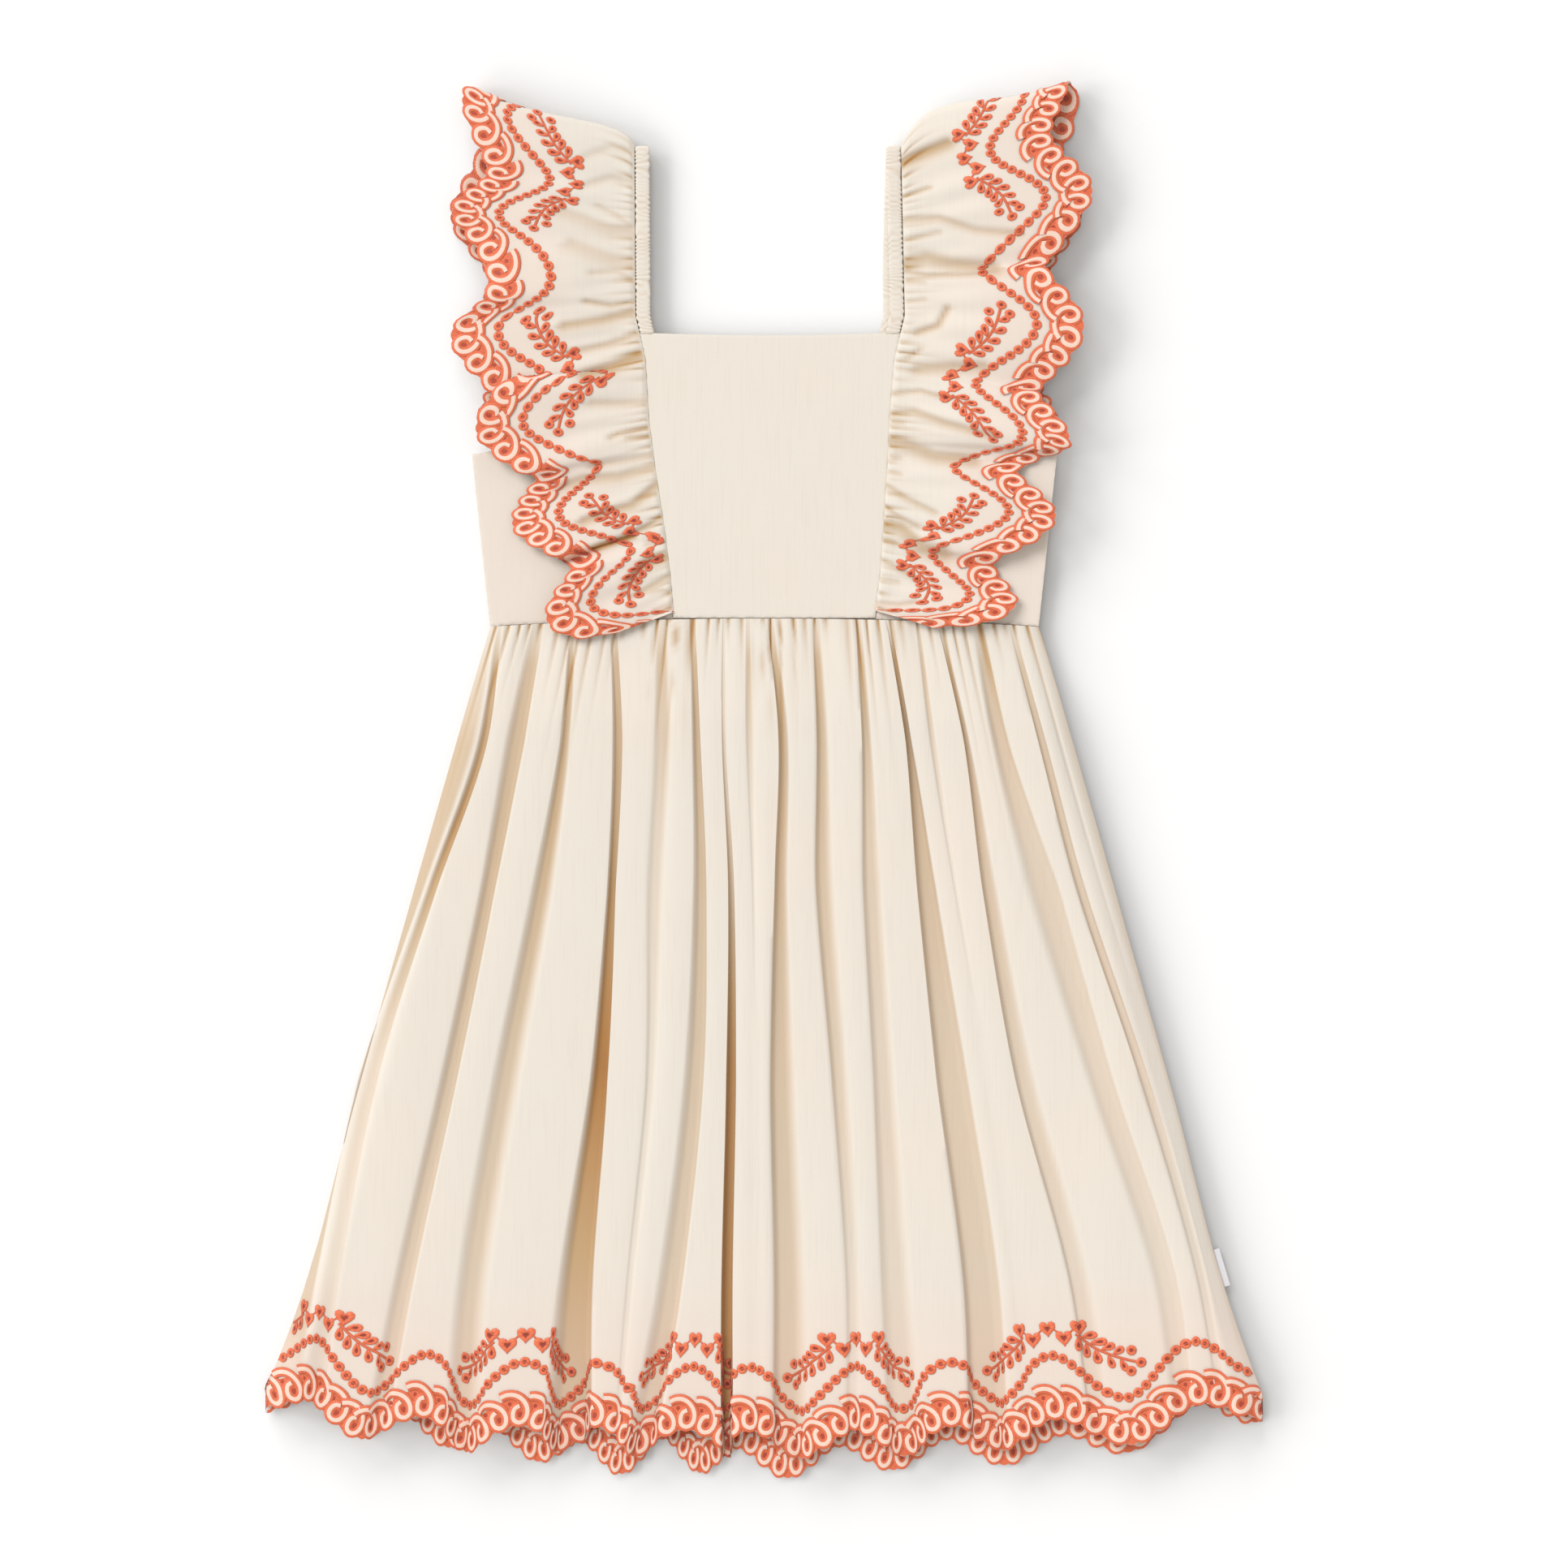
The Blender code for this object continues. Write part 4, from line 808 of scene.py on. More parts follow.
def stitch_spray(design, start, end, s, side):
    """Stem with its leaves and berries, on one side of the hearts at s."""
    stem = spline(SPRAY_STEM, STEM_POINTS) * (side, 1) + (s, 0)
    shown = np.ones(STEM_POINTS, bool)
    if stem[:, 0].min() < start or stem[:, 0].max() > end:
        shown = (stem[:, 0] > start + 1) & (stem[:, 0] < end - 1)
        if shown.sum() < 5:
            return
    ways, ups = line_normals(stem)
    ups = ups * side
    stitch_line(design, stem[shown], STEM_LINE)
    for t, up, length, width in SPRAY_LEAVES:
        at = round(t * (STEM_POINTS - 1))
        way = ways[at] * LEAF_LEAN[0] + ups[at] * up * LEAF_LEAN[1]
        foot = stem[at] + ups[at] * up * LEAF_FOOT
        shape = leaf(foot, way, length, width)
        if start < shape[:, 0].min() and shape[:, 0].max() < end:
            stitch_patch(design, shape, foot + way * length * LEAF_MIDDLE)
    for t, up, away in SPRAY_BERRIES:
        at = round(t * (STEM_POINTS - 1))
        middle = stem[at] + ups[at] * up * away + (ways[at] * BERRY_TIP if up == 0 else 0)
        if start + DOT_MARGIN < middle[0] < end - DOT_MARGIN:
            stitch_patch(design, circle(middle, BERRY_RADIUS), middle)


def edge_design(start, end, mirrored):
    """The whole border between two flat places along the edge."""
    design = {"points": [], "faces": [], "finishes": [], "along": [], "shades": [], "count": 0}
    stitch_ground(design, start, end)
    stitch_loops(design, start, end, -1 if mirrored else 1)
    stitch_dots(design, start, end)
    for k in range(math.floor(start / HEART_SPACING), math.ceil(end / HEART_SPACING) + 1):
        stitch_hearts(design, start, end, k * HEART_SPACING)
        for side in (-1, 1):
            stitch_spray(design, start, end, k * HEART_SPACING, side)
    return design


MAP_STEP = 1.0
MAP_ROWS = 2.0
MAP_LOW = -16.0
MAP_HIGH = 64.0


def surface_map(start, end, surface):
    """Table of points, normals and shades over the border's flat cloth."""
    heights = np.arange(MAP_LOW, MAP_HIGH + MAP_ROWS, MAP_ROWS)
    s, h = np.meshgrid(np.arange(start, end, MAP_STEP), heights, indexing="ij")
    points, shades = surface(s, h)
    normals = np.cross(np.gradient(points, axis=0), np.gradient(points, axis=1))
    return points, unit(normals), shades


def embroider(name, flats, surface, facing, mirrored=False):
    """Stitch the border along an edge; facing turns the lift to the side that shows."""
    start, end = flats[0], flats[-1]
    design = edge_design(start, end, mirrored)
    points, normals, shades = surface_map(start, end, surface)
    flat = np.concatenate(design["points"])
    a = np.clip((flat[:, 0] - start) / MAP_STEP, 0, points.shape[0] - 1.001)
    b = np.clip((flat[:, 1] - MAP_LOW) / MAP_ROWS, 0, points.shape[1] - 1.001)
    i, j = a.astype(int), b.astype(int)

    def read(values):
        f, g = a - i, b - j
        if values.ndim == 3:
            f, g = f[:, None], g[:, None]
        return mix(mix(values[i, j], values[i + 1, j], f),
                   mix(values[i, j + 1], values[i + 1, j + 1], f), g)

    turned, above = facing(flat[:, 0])
    placed = read(points) + unit(read(normals)) * (turned * (flat[:, 2] + above))[:, None]
    piece = new_piece(name, placed, design["faces"], coral_thread, pale_thread, eyelet_shade)
    piece.data.polygons.foreach_set("material_index", design["finishes"])
    # Painted shade: the cloth's fold shade beneath, with the stitches' own painted shade
    mark_points(piece, fold_shade=share(read(shades) * 0.8 + np.concatenate(design["shades"])),
                along_thread=np.concatenate(design["along"]))
    piece.data.shade_smooth()
    settle(piece, "embroidered_cotton")


def hem_surface(s, h):
    q = np.interp(s, HEM_FLATS, range(STATIONS))
    return front_surface(q, hem_share(q, h))


def facing_up(s):
    return np.ones_like(s), 0.0


embroider("hem_front_embroidery", HEM_FLATS, hem_surface, facing_up)
embroider("hem_back_embroidery", BACK_FLATS, back_surface, facing_up)

# Bodice.
# Four flat panels of the same poplin, faced on the inside: the square bib, a panel from each bib
# seam to the side seam, and the plain back. Edges are turned in and pressed, with no topstitching.
SIDES = ((-1, "left"), (1, "right"))
SEAM_GAP = 0.3
SEAM_TUCK = 0.4
UNDERARM_Y = 161.0
UNDERARM_HALF_WIDTH = 144.0
BIB_TOP_Y = 220.0
BIB_CORNER_Y = 208.0
BACK_TOP_Y = 212.0
ARMHOLE_CURVE = 1.7
NECK_SHARE = 0.5
BODICE_BACK_TOP_Z = 2.3
SIDE_PANEL_TOP_Z = 3.6
BIB_TOP_Z = 4.6
BIB_PUFF = 0.6
EDGE_ROUND = 1.6
EDGE_FALL = 0.7
BIB_TOP_DIP = 1.4
PANEL_RUMPLE = 0.05
SIDE_PANEL_BOUNCE_LIGHT = 0.4
SEAM_YS = (80, 102, 126, 155, 179, 208, 229, 320)
SEAM_LEFT_XS = (-44.5, -46.5, -49.5, -54, -57, -58.7, -63.5, -64)
SEAM_RIGHT_XS = (54, 57, 58.5, 60.5, 61.5, 64, 69, 67)


def seam_x(side, y):
    """Seam of each ruffle beside strap and bib, by height."""
    return np.interp(y, SEAM_YS, SEAM_LEFT_XS if side < 0 else SEAM_RIGHT_XS)


def turned_edge(grid):
    """Fall of a panel's border where its edge is turned in."""
    away = np.full(grid.shape[:2], 1e3)
    for border in (grid[0], grid[-1], grid[:, 0], grid[:, -1]):
        for point in border[::3]:
            away = np.minimum(away, np.linalg.norm(grid[..., :2] - point[:2], axis=2))
    return EDGE_FALL * (1 - share(away / EDGE_ROUND)) ** 2


def rumple(x, y, height):
    """Low soft unevenness of a pressed panel."""
    return height * (np.sin(x / 13.0 + 1.7 * np.sin(y / 23.0)) + np.sin(y / 17.0 + x / 41.0)
                     + 0.6 * np.sin(x / 7.1 - y / 11.3))


def spaced(count):
    """Shares from 0 to 1 that lie closer together at both ends."""
    t = np.linspace(0, 1, count)
    return t - 0.14 * np.sin(2 * np.pi * t)


up, over = spaced(64)[:, None], spaced(56)[None, :]
y = mix(WAIST_CENTRE_Y + SEAM_GAP, BIB_TOP_Y, up)
x = mix(seam_x(-1, y) - SEAM_TUCK, seam_x(1, y) + SEAM_TUCK, over)
y = y + 0 * x + BIB_TOP_DIP * up**6 * ((2 * over - 1) ** 2 - 0.5)
puff = np.sin(np.pi * over) * np.sin(np.pi * up)
grid = np.stack([x, y, BIB_TOP_Z + BIB_PUFF * puff + rumple(x, y, PANEL_RUMPLE)], -1)
grid[..., 2] -= turned_edge(grid)
bib_cloth = cloth_shell("bib_cloth", grid, poplin)
settle(bib_cloth, "cream_cotton", "bodice_front")

for side, name in SIDES:
    up, reach = spaced(48)[:, None], spaced(48)[None, :]
    x_in = seam_x(side, BIB_CORNER_Y)
    top_x = mix(side * UNDERARM_HALF_WIDTH, x_in + SEAM_GAP * side, reach)
    top_y = mix(UNDERARM_Y, BIB_CORNER_Y, reach**ARMHOLE_CURVE)
    seam = seam_x(side, mix(WAIST_CENTRE_Y, top_y, up)) + side * SEAM_GAP
    outer = side * mix(WAIST_HALF_WIDTH, UNDERARM_HALF_WIDTH, up)
    x = mix(outer, seam, reach)
    y = mix(waist_y(x) + SEAM_GAP, top_y, up)
    grid = np.stack([x, y, SIDE_PANEL_TOP_Z + rumple(x, y, PANEL_RUMPLE)], -1)
    grid[..., 2] -= turned_edge(grid)
    # Painted light: a warm pink tint for the light that the ruffles bounce onto the side panels
    panel = cloth_shell("bodice_side_" + name + "_cloth", grid, poplin,
                        near_stitch=np.full(grid.shape[:2], SIDE_PANEL_BOUNCE_LIGHT))
    settle(panel, "cream_cotton", "bodice_side_" + name)

up, over = np.linspace(0, 1, 40)[:, None], np.linspace(-1, 1, 81)[None, :]
reach = 1 - np.maximum(0, (np.abs(over) - NECK_SHARE) / (1 - NECK_SHARE))
top_y = mix(UNDERARM_Y, BACK_TOP_Y, reach**ARMHOLE_CURVE)
x = over * mix(WAIST_HALF_WIDTH, UNDERARM_HALF_WIDTH, up)
y = mix(waist_y(x) + SEAM_GAP, top_y, up)
grid = np.stack([x, y, BODICE_BACK_TOP_Z + rumple(x, y, 0.04)], -1)
bodice_back_cloth = cloth_shell("bodice_back_cloth", grid, poplin)
settle(bodice_back_cloth, "cream_cotton", "bodice_back")

# Shoulder straps.
# A flat elastic runs in a poplin tunnel from the bib's corner over the shoulder to the back. At
# rest it draws the tunnel into close ribs; the ruffle is sewn along its outer side.
STRAP_WIDTH = 7.0
STRAP_THICKNESS = 1.6
STRAP_FRONT_Z = 4.9
STRAP_BACK_Z = 2.9
STRAP_TOP_Y = 312.5
STRAP_RIB = 0.45
RIB_PITCH = 2.5
RIB_LEAN = 0.9
RIB_SWAY = 0.35
RIB_SHADE = 0.22
BACK_STRAP_SHIFT = 3.0
BACK_SHIFT_REACH = 60.0
FRONT_STEPS, TURN_STEPS, BACK_STEPS, AROUND_STEPS = 260, 14, 150, 14

# The strap's path: up the front, round the shoulder and down the back
bottom = BIB_TOP_Y + SEAM_GAP
middle_z = (STRAP_FRONT_Z - STRAP_THICKNESS + STRAP_BACK_Z) / 2
radius = STRAP_FRONT_Z - middle_z - STRAP_THICKNESS / 2
turn_y = STRAP_TOP_Y - radius - STRAP_THICKNESS / 2
quarter = math.pi / 2
angle = np.concatenate([np.full(FRONT_STEPS, quarter),
                        np.linspace(quarter, -quarter, TURN_STEPS + 2)[1:-1],
                        np.full(BACK_STEPS, -quarter)])
path_y = radius * np.cos(angle) + np.concatenate([
    np.linspace(bottom, turn_y, FRONT_STEPS), np.full(TURN_STEPS, turn_y),
    np.linspace(turn_y, BACK_TOP_Y + SEAM_GAP, BACK_STEPS)])
path_z = middle_z + radius * np.sin(angle)
run = length_along(np.stack([path_y, path_z], -1))[:, None]
behind = share((run[:, 0] - run[FRONT_STEPS + 10]) / BACK_SHIFT_REACH)

# Its flat oval section
around = 2 * np.pi * np.arange(AROUND_STEPS) / AROUND_STEPS
wide = np.sign(np.cos(around)) * np.abs(np.cos(around)) ** 0.55 * STRAP_WIDTH / 2
thick = np.sign(np.sin(around)) * np.abs(np.sin(around)) ** 0.8 * STRAP_THICKNESS / 2

index = np.arange(len(run) * AROUND_STEPS).reshape(-1, AROUND_STEPS)
beside = np.roll(index, -1, axis=1)
quads = np.stack([index[:-1], beside[:-1], beside[1:], index[1:]], -1).reshape(-1, 4)
faces = quads.tolist() + [index[0, ::-1].tolist(), index[-1].tolist()]

for side, name in SIDES:
    uneven = 1.5 * np.sin(run / 5.3 + side) + 0.8 * np.sin(run / 2.3)
    lean = run + RIB_LEAN * wide * np.sin(run / 8.7) + uneven
    rib = np.sin(2 * np.pi * lean / RIB_PITCH) * (0.7 + 0.3 * np.sin(run / 3.1))
    swell = STRAP_RIB * (rib * 0.5 + 0.5) * share(np.abs(thick) / 0.3)
    height = thick + np.sign(thick) * swell * 0.7
    sway = RIB_SWAY * rib * (np.abs(wide) > STRAP_WIDTH * 0.4)
    x_middle = seam_x(side, np.maximum(path_y, bottom)) - side * (SEAM_GAP + STRAP_WIDTH / 2)
    x_middle = x_middle - side * BACK_STRAP_SHIFT * behind * (side > 0)
    points = np.stack([x_middle[:, None] + wide + np.sign(wide) * sway,
                       path_y[:, None] + np.cos(angle)[:, None] * height,
                       path_z[:, None] + np.sin(angle)[:, None] * height], -1)
    strap = new_piece("strap_" + name + "_cloth", points.reshape(-1, 3), faces, poplin)
    # Painted shade in the valleys between the ribs
    mark_points(strap, fold_shade=share(-rib) * RIB_SHADE)
    strap.data.shade_smooth()
    settle(strap, "cream_cotton", "strap_" + name)

# Ruffles.
# One strip of the embroidered poplin on each side, gathered beside bib and strap, over the
# shoulder and down the back. Gathers start as close slits at the seam and open into soft lobes;
# some lobes lie over their neighbours. The embroidered edge follows the outside.
RUFFLE_SEAM_Z = 4.9
RUFFLE_TURN_Z = 3.4
RUFFLE_BACK_Z = 0.0
RUFFLE_GATHER_REACH = 0.59
RUFFLE_COLUMN_STEP = 1.5
SLIT_PITCH = 4.6
SLIT_DEPTH = 1.3
SLIT_REACH = 9.0
RIPPLE_DEPTH = 0.35
RUFFLE_ROWS = 40
RUFFLE_BLUSH = 0.7
RUFFLE_BLUSH_START, RUFFLE_BLUSH_REACH = -50.0, 25.0
# Painted shade in the gather slits and the creases, and over the back strip that lies under the
# front
SLIT_SHADE = 0.55
CREASE_SHADE = 0.9
BACK_STRIP_SHADE = 0.3
# Rise of the ruffle over the shoulder: share of the way out, left and right
SHOULDER_PLACES = (0.0, 0.04, 0.11, 0.21, 0.37, 0.55, 0.8, 1.0)
SHOULDER_RISES = {-1: (0, 3.4, 4.8, 4.8, 3, 0.6, -1.6, 0), 1: (0, 4.5, 9.1, 12, 10.9, 6.8, 2.2, 0)}
SHOULDER_REACH = 4.0
SHOULDER_FADE = 1.5

# Creases of the left and the right ruffle as they lie: points from the seam outwards, depth,
# width and painted shade
CREASES = {-1: (
    (((-63, 309), (-75, 312), (-88, 307)), 0.8, 2.5, 0.15),
    (((-63, 294), (-75, 297), (-88, 293)), 1.0, 2.5, 0.20),
    (((-65, 270), (-75, 271), (-88, 276), (-100, 280)), 1.2, 4.0, 0.25),
    (((-63, 271), (-72, 278), (-82, 283)), 0.7, 1.6, 0.20),
    (((-65, 255), (-75, 257), (-95, 264)), 1.0, 4.5, 0.25),
    (((-63, 245), (-72, 251), (-85, 250)), 0.8, 1.8, 0.25),
    (((-63, 236), (-75, 234), (-88, 236)), 1.2, 1.6, 0.40),
    (((-65, 231), (-80, 227), (-99, 224)), 1.6, 3.0, 0.50),
    (((-63, 220), (-77, 215), (-95, 211)), 1.2, 2.2, 0.40),
    (((-62, 210), (-75, 204), (-88, 200)), 1.8, 4.0, 0.60),
    (((-58, 187), (-71, 186), (-85, 186)), 0.7, 2.5, 0.30),
    (((-58, 174), (-71, 171), (-76, 169)), 1.2, 1.5, 0.40),
    (((-57, 170), (-67, 169)), 0.8, 1.4, 0.35),
    (((-54, 161), (-68, 158), (-85, 155)), 0.8, 2.0, 0.30),
    (((-54, 155), (-71, 150), (-88, 149), (-100, 145)), 1.4, 3.5, 0.40),
    (((-52, 147), (-65, 136), (-76, 133), (-89, 128)), 1.6, 3.0, 0.50),
    (((-51, 130), (-57, 126), (-67, 121)), 1.4, 2.0, 0.50),
    (((-49, 118), (-58, 117)), 0.8, 1.5, 0.30),
    (((-47, 111), (-58, 108), (-65, 100)), 1.6, 3.5, 0.60),
    (((-45, 102), (-54, 97), (-65, 91)), 1.0, 2.0, 0.40),
    (((-44, 93), (-51, 94), (-58, 93)), 0.6, 1.5, 0.30),
    (((-44, 88), (-54, 84)), 0.6, 1.5, 0.25),
    (((-65, 121), (-80, 116), (-100, 108)), 3.0, 1.9, 1.10),
), 1: (
    (((66, 304), (75, 308), (90, 314)), 1.8, 4.0, 0.60),
    (((65, 302), (70, 304), (77, 306)), 0.8, 1.2, 0.40),
    (((66, 287), (75, 290), (81, 292)), 1.1, 1.4, 0.40),
    (((68, 276), (86, 277), (104, 271), (126, 269)), 1.3, 2.4, 0.35),
    (((69, 266), (77, 268), (86, 270)), 0.8, 1.5, 0.30),
    (((68, 255), (80, 258), (92, 255), (114, 252)), 1.6, 4.5, 0.45),
    (((69, 251), (80, 249), (97, 249), (114, 250)), 1.2, 1.6, 0.40),
    (((70, 245), (79, 245)), 0.6, 1.2, 0.25),
    (((70, 236), (79, 237)), 0.7, 1.3, 0.25),
    (((75, 221), (85, 224), (90, 233)), 1.6, 2.0, 0.50),
    (((70, 208), (77, 213)), 0.9, 1.5, 0.35),
    (((75, 203), (92, 204), (108, 204)), 1.3, 3.5, 0.40),
    (((63, 191), (77, 192), (90, 188)), 1.0, 1.6, 0.35),
    (((63, 181), (74, 182), (89, 176), (113, 169)), 1.4, 2.6, 0.40),
    (((62, 176), (68, 176)), 0.8, 1.3, 0.30),
    (((62, 168), (70, 166), (84, 160), (103, 158)), 1.6, 4.0, 0.45),
    (((61, 158), (67, 159)), 0.7, 1.3, 0.30),
    (((61, 152), (67, 151)), 0.7, 1.3, 0.30),
    (((60, 146), (70, 139), (84, 132)), 1.2, 2.0, 0.35),
    (((59, 136), (66, 130), (76, 125)), 1.2, 1.8, 0.35),
    (((58, 127), (68, 125), (78, 115), (89, 112)), 1.8, 4.5, 0.50),
    (((59, 119), (65, 117)), 1.2, 2.0, 0.40),
    (((58, 109), (67, 104), (76, 99)), 1.0, 1.8, 0.35),
    (((57, 100), (66, 98)), 0.6, 1.3, 0.25),
    (((55, 88), (66, 87), (74, 88)), 0.8, 1.5, 0.30),
)}

# Ribs of the left and the right ruffle from shoulder to front waist: y at the seam, place and
# height of the outer edge, height at half width, and length along the flat cloth's outer edge
FRONT_RIBS = {-1: (
    (311, -141.5, 338, 7.0, 8.0, 450),
    (302, -141, 325, 9.0, 9.0, 434),
    (290, -142, 303, 8.0, 9.0, 412),
    (278, -146, 284, 7.0, 9.0, 382),
    (266, -144.5, 268, 6.5, 9.0, 358),
    (254, -143, 251, 8.0, 10.0, 342),
    (244, -140, 238, 10.0, 10.0, 330),
    (236, -141, 231, 7.5, 8.0, 318),
    (230, -146, 224, 5.5, 8.0, 310),
    (221, -146, 212, 5.5, 7.0, 298),
    (213, -143, 199, 5.5, 6.5, 285),
    (207, -138, 189, 6.0, 7.0, 275),
    (203, -126, 198, 9.5, 9.0, 262),
    (197, -131, 191, 12.5, 11.0, 254),
    (188, -134, 176, 11.0, 10.0, 240),
    (177, -132, 164, 10.0, 9.0, 226),
    (167, -125, 151, 10.5, 10.0, 212),
    (162, -118, 148, 8.0, 8.0, 204),
    (155, -120, 143, 5.8, 7.0, 196),
    (145, -117, 132, 6.0, 7.0, 176),
    (134, -115, 120, 8.0, 8.0, 158),
    (126, -109, 109, 11.5, 9.0, 142),
    (121, -102, 105, 6.0, 6.0, 136),
    (116, -101, 100, 11.0, 9.0, 130),
    (109, -101, 92, 11.0, 9.0, 116),
    (100, -99, 80, 11.0, 8.5, 100),
    (91, -90, 71, 10.0, 8.5, 86),
    (83, -77, 71, 9.5, 8.0, 74),
), 1: (
    (310, 142, 339, 7.0, 8.0, 438),
    (301, 144, 326, 9.0, 9.0, 420),
    (291, 149, 311, 9.0, 9.0, 400),
    (280, 153, 294, 8.0, 9.0, 380),
    (269, 153, 279, 7.5, 9.0, 362),
    (259, 150, 265, 6.5, 8.0, 350),
    (252, 146, 256, 5.8, 7.0, 342),
    (247, 143, 252, 9.0, 9.0, 334),
    (241, 146, 243, 11.0, 10.0, 326),
    (229, 149, 226, 10.0, 10.0, 308),
    (219, 148, 211, 9.0, 10.0, 294),
    (209, 146, 199, 7.0, 8.0, 280),
    (203, 142, 192, 6.0, 7.0, 272),
    (197, 139, 189, 9.5, 9.0, 264),
    (188, 140, 179, 11.5, 10.0, 250),
    (177, 142, 169, 12.5, 11.0, 236),
    (171, 144, 163, 11.0, 10.0, 226),
    (166, 140, 160, 6.5, 7.0, 218),
    (161, 135, 155, 5.6, 6.5, 208),
    (155, 130, 151, 9.0, 9.0, 200),
    (146, 134, 140, 11.0, 10.0, 184),
    (135, 135, 127, 11.0, 10.0, 164),
    (126, 130, 115, 12.0, 10.0, 148),
    (120, 122, 109, 11.0, 9.0, 138),
    (115, 118, 104, 6.0, 6.5, 130),
    (107, 118, 96, 6.5, 7.0, 118),
    (99, 116, 88, 9.0, 8.0, 104),
    (92, 106, 79, 12.0, 8.5, 90),
    (84, 87, 74, 9.5, 8.0, 76),
)}

# The same strip behind, pressed flat, with its outer face to the table
BACK_RIBS = {-1: (
    (312.5, -142.5, 340.5, 4.2, 4.2, 456),
    (310, -143, 336, 0.2, 0.6, 461),
    (296, -145, 318, 0.0, 0.6, 478),
    (279, -147, 296, 0.0, 0.6, 492),
    (262, -147, 276, 0.0, 0.6, 510),
    (246, -142, 254, 0.0, 0.4, 534),
    (224, -141, 227, 0.0, 0.0, 570),
    (196, -138, 196, 0.0, 0.0, 620),
    (168, -128, 166, 0.0, 0.0, 660),
    (140, -118, 136, 0.0, 0.0, 700),
    (112, -108, 108, 0.0, 0.0, 738),
    (86, -98, 82, 0.0, 0.0, 772),
), 1: (
    (312.5, 143.5, 341.5, 4.2, 4.2, 444),
    (310, 147, 337, 0.2, 0.6, 447),
    (296, 150, 322, 0.0, 0.6, 457),
    (279, 150, 302, 0.0, 0.6, 477),
    (260, 149, 280, 0.0, 0.6, 506),
    (242, 147, 258, 0.0, 0.4, 534),
    (222, 146, 232, 0.0, 0.0, 568),
    (196, 142, 200, 0.0, 0.0, 612),
    (168, 134, 168, 0.0, 0.0, 654),
    (140, 126, 138, 0.0, 0.0, 694),
    (112, 118, 108, 0.0, 0.0, 732),
    (86, 108, 82, 0.0, 0.0, 766),
)}


def ruffle_tables(side):
    """The ribs' columns as smooth curves over rib number, and the number of the shoulder's."""
    ribs = FRONT_RIBS[side][::-1] + BACK_RIBS[side]
    last = len(ribs) - 1
    places = np.linspace(0, last, 32 * last + 1)
    columns = [[smooth_curve(range(last + 1), [rib[c] for rib in ribs], u) for u in places]
               for c in range(6)]
    return places, np.array(columns), len(FRONT_RIBS[side])


def creased(side, x, y):
    """Depth and painted shade of the creases at places of a ruffle; each is sharper on its upper
    side.
    """
    depth = np.zeros_like(x)
    painted_shade = np.zeros_like(x)
    for line, deep, wide, shade_strength in CREASES[side]:
        nearest = np.full_like(x, 1e3)
        for (x0, y0), (x1, y1) in zip(line[:-1], line[1:]):
            run = math.hypot(x1 - x0, y1 - y0)
            t = share(((x - x0) * (x1 - x0) + (y - y0) * (y1 - y0)) / run**2)
            dx, dy = x - mix(x0, x1, t), y - mix(y0, y1, t)
            away = np.hypot(dx, dy) / np.where(dy > 0, 0.55 * wide, 1.15 * wide)
            nearest = np.minimum(nearest, away)
        dip = np.exp(-nearest**2)
        depth = depth + deep * dip
        painted_shade = np.maximum(painted_shade, shade_strength * dip)
    return depth, painted_shade


fine = np.linspace(0, 1, 101)
SHOULDER_CURVES = {side: (fine, [smooth_curve(SHOULDER_PLACES, rises, v) for v in fine])
                   for side, rises in SHOULDER_RISES.items()}


def ruffle_surface(side, tables, u, out):
    """Points and shades of a ruffle: u counts ribs from the front waist, out is past the edge."""
    places, columns, turn = tables
    seam_y, edge_x, edge_y, edge_z, mid_z, _ = (np.interp(u, places, c) for c in columns)
    seam_z = np.interp(u, (turn - 1, turn, turn + 1), (RUFFLE_SEAM_Z, RUFFLE_TURN_Z, RUFFLE_BACK_Z))
    seam = np.stack([seam_x(side, seam_y), seam_y, seam_z], -1)
    edge = np.stack([edge_x, edge_y, edge_z], -1)
    length = np.linalg.norm(edge - seam, axis=-1)
    v = 1 + out / length
    point = mix(seam, edge, v[..., None])
    bow = 2 * mid_z - (seam_z + edge_z) / 2
    v_in = np.clip(v, 0, 1)
    z = (1 - v_in) ** 2 * seam_z + 2 * v_in * (1 - v_in) * bow + v_in**2 * edge_z
    front = u < turn
    fade = np.sin(np.pi * share(v_in / RUFFLE_GATHER_REACH))
    z = z + np.where(front, RIPPLE_DEPTH * np.sin(np.pi * u) ** 2 * fade, 0)
    near_turn = share(1 - np.abs(u - turn) / SHOULDER_REACH) ** SHOULDER_FADE
    point[..., 1] += np.interp(v_in, *SHOULDER_CURVES[side]) * near_turn
    from_seam = v_in * length
    phase = 2 * np.pi * seam_y / SLIT_PITCH + 2.3 * np.sin(seam_y / 9.0)
    phase = phase + 1.4 * np.sin(seam_y / 4.1)
    slit = share(-np.sin(phase)) ** 2 * (0.62 + 0.38 * np.sin(seam_y / 6.7 + 1.3))
    reach = SLIT_REACH * (1 + 0.45 * np.sin(seam_y / 5.3))
    near = share(from_seam / 1.2) * np.exp(-(from_seam / reach) ** 2)
    wander = phase * 0.31 + 0.9 * np.sin(from_seam / 16.0 + seam_y / 19.0)
    ripple = np.sin(wander) + 0.5 * np.sin(wander * 0.53 + from_seam / 23.0)
    middle = np.sin(np.pi * share(from_seam / 62.0)) ** 1.3
    depth, painted_shade = creased(side, point[..., 0], point[..., 1])
    z = z + np.where(front, RIPPLE_DEPTH * ripple * middle - SLIT_DEPTH * slit * near
                     + SLIT_DEPTH * near - depth, 0)
    point[..., 2] = np.maximum(z, np.where(front, RUFFLE_SEAM_Z, RUFFLE_BACK_Z))
    # Painted shade: slits and creases in front, an even shade over the back strip
    shade = np.where(front, SLIT_SHADE * slit * near + CREASE_SHADE * painted_shade, BACK_STRIP_SHADE)
    return point, share(shade)


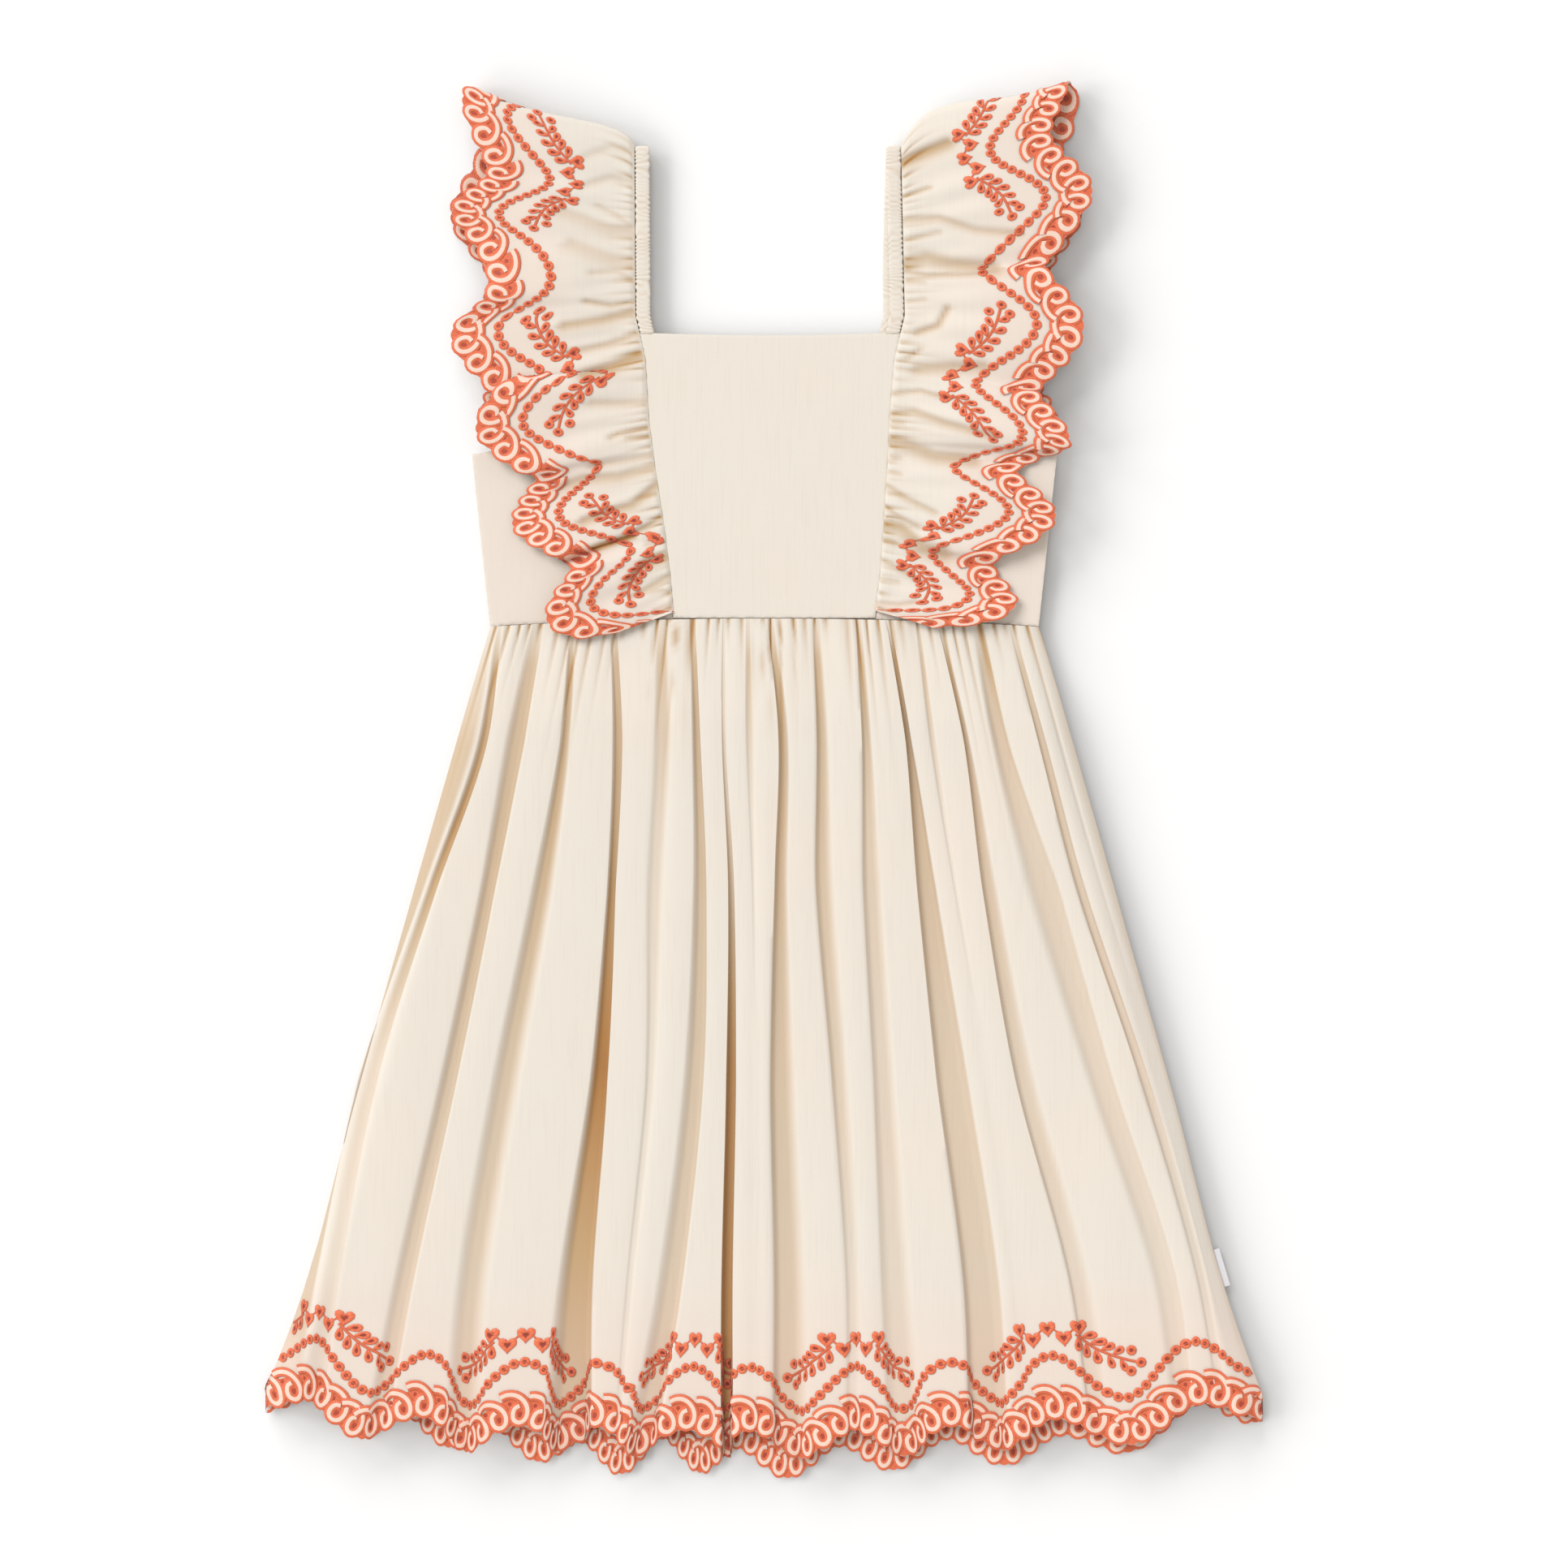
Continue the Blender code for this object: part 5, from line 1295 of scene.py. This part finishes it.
for side, name in SIDES:
    tables = ruffle_tables(side)
    places, columns, turn = tables
    flats = columns[5]
    along = np.linspace(flats[0], flats[-1], int(np.ptp(flats) / RUFFLE_COLUMN_STEP) + 1)
    u = np.interp(along, flats, places)
    edge_points, _ = ruffle_surface(side, tables, u, np.zeros_like(u))
    seam_ys = np.interp(u, places, columns[0])
    seam_points = np.stack([seam_x(side, seam_ys), seam_ys, 0 * u + RUFFLE_SEAM_Z], -1)
    lengths = np.linalg.norm(edge_points - seam_points, axis=-1)
    out_edge = NOTCH_DEPTH / 2 - edge_wave(along) - edge_notch(along)
    outs = [(lengths - EDGE_MARGIN) * k / RUFFLE_ROWS - lengths for k in range(RUFFLE_ROWS + 1)]
    outs += [mix(-EDGE_MARGIN, out_edge, t) for t in (0.25, 0.5, 0.75, 1.0)]
    surface = [ruffle_surface(side, tables, u, out) for out in outs]
    grid, shade = (np.stack(rows) for rows in zip(*surface))
    blush = np.stack([share((out - RUFFLE_BLUSH_START) / RUFFLE_BLUSH_REACH) for out in outs])
    cloth = cloth_shell("ruffle_" + name + "_cloth", grid, poplin, fold_shade=shade,
                        near_stitch=blush * RUFFLE_BLUSH)
    settle(cloth, "embroidered_cotton", "ruffle_" + name)
    shoulder = np.interp(turn, places, flats)

    def border_surface(s, h):
        return ruffle_surface(side, tables, np.interp(s, flats, places), -h - (LOOP_REACH - 1))

    def showing(s):
        """The front shows its outer face, the back its inner one."""
        behind = s > shoulder
        return np.where(behind, -1.0, 1.0) * side, np.where(behind, CLOTH_THICKNESS, 0.0)

    embroider("ruffle_" + name + "_embroidery", flats, border_surface, showing, side < 0)

# Side label.
# A folded ribbon of smooth white woven polyester, caught in the side seam above the hem: more than
# half of it lies between front and back. It is left blank.
LABEL_SIZE = (8.0, 19.0)
LABEL_TOP_Y = -231.0
LABEL_TUCK = 4.6
LABEL_TOP_Z = 1.8
LABEL_THICKNESS = 0.7
LABEL_CURL = 0.1
LABEL_COLOURS = ("#D6D4D7", "#DAD8DB")
LABEL_GRAIN_SCALE = 700.0
LABEL_THREAD_SPACING = 0.4

ribbon, tree, shader = new_finish("white_polyester_satin", 0.45, sheen=0.1)
place, colour = clouded(tree, LABEL_GRAIN_SCALE, *LABEL_COLOURS)
tree.links.new(colour, shader.inputs["Base Color"])
weave = weave_bump(tree, place, LABEL_THREAD_SPACING, 0.3)
tree.links.new(weave.outputs[0], shader.inputs["Normal"])

shares_down = np.linspace(0, 1, 61)
side_xs = np.array([half_width(v) for v in shares_down])
side_ys = mix(WAIST_SIDE_Y, back_hem_y(side_xs), shares_down)
top_x = np.interp(-LABEL_TOP_Y, -side_ys, side_xs)
low_x = np.interp(-(LABEL_TOP_Y - LABEL_SIZE[1]), -side_ys, side_xs)
way = unit(np.array([low_x - top_x, -LABEL_SIZE[1]]))
down = np.linspace(0, LABEL_SIZE[1], 24)[:, None]
over = np.linspace(0, LABEL_SIZE[0], 14)[None, :]
x = top_x + way[0] * down - way[1] * (over - LABEL_TUCK)
y = LABEL_TOP_Y + way[1] * down + way[0] * (over - LABEL_TUCK)
z = LABEL_TOP_Z - LABEL_CURL * (over / LABEL_SIZE[0]) ** 2 + 0 * down
side_label_ribbon = cloth_shell("side_label_ribbon", np.stack([x, y, z], -1), ribbon,
                                thickness=LABEL_THICKNESS)
settle(side_label_ribbon, "white_label", "side_label")
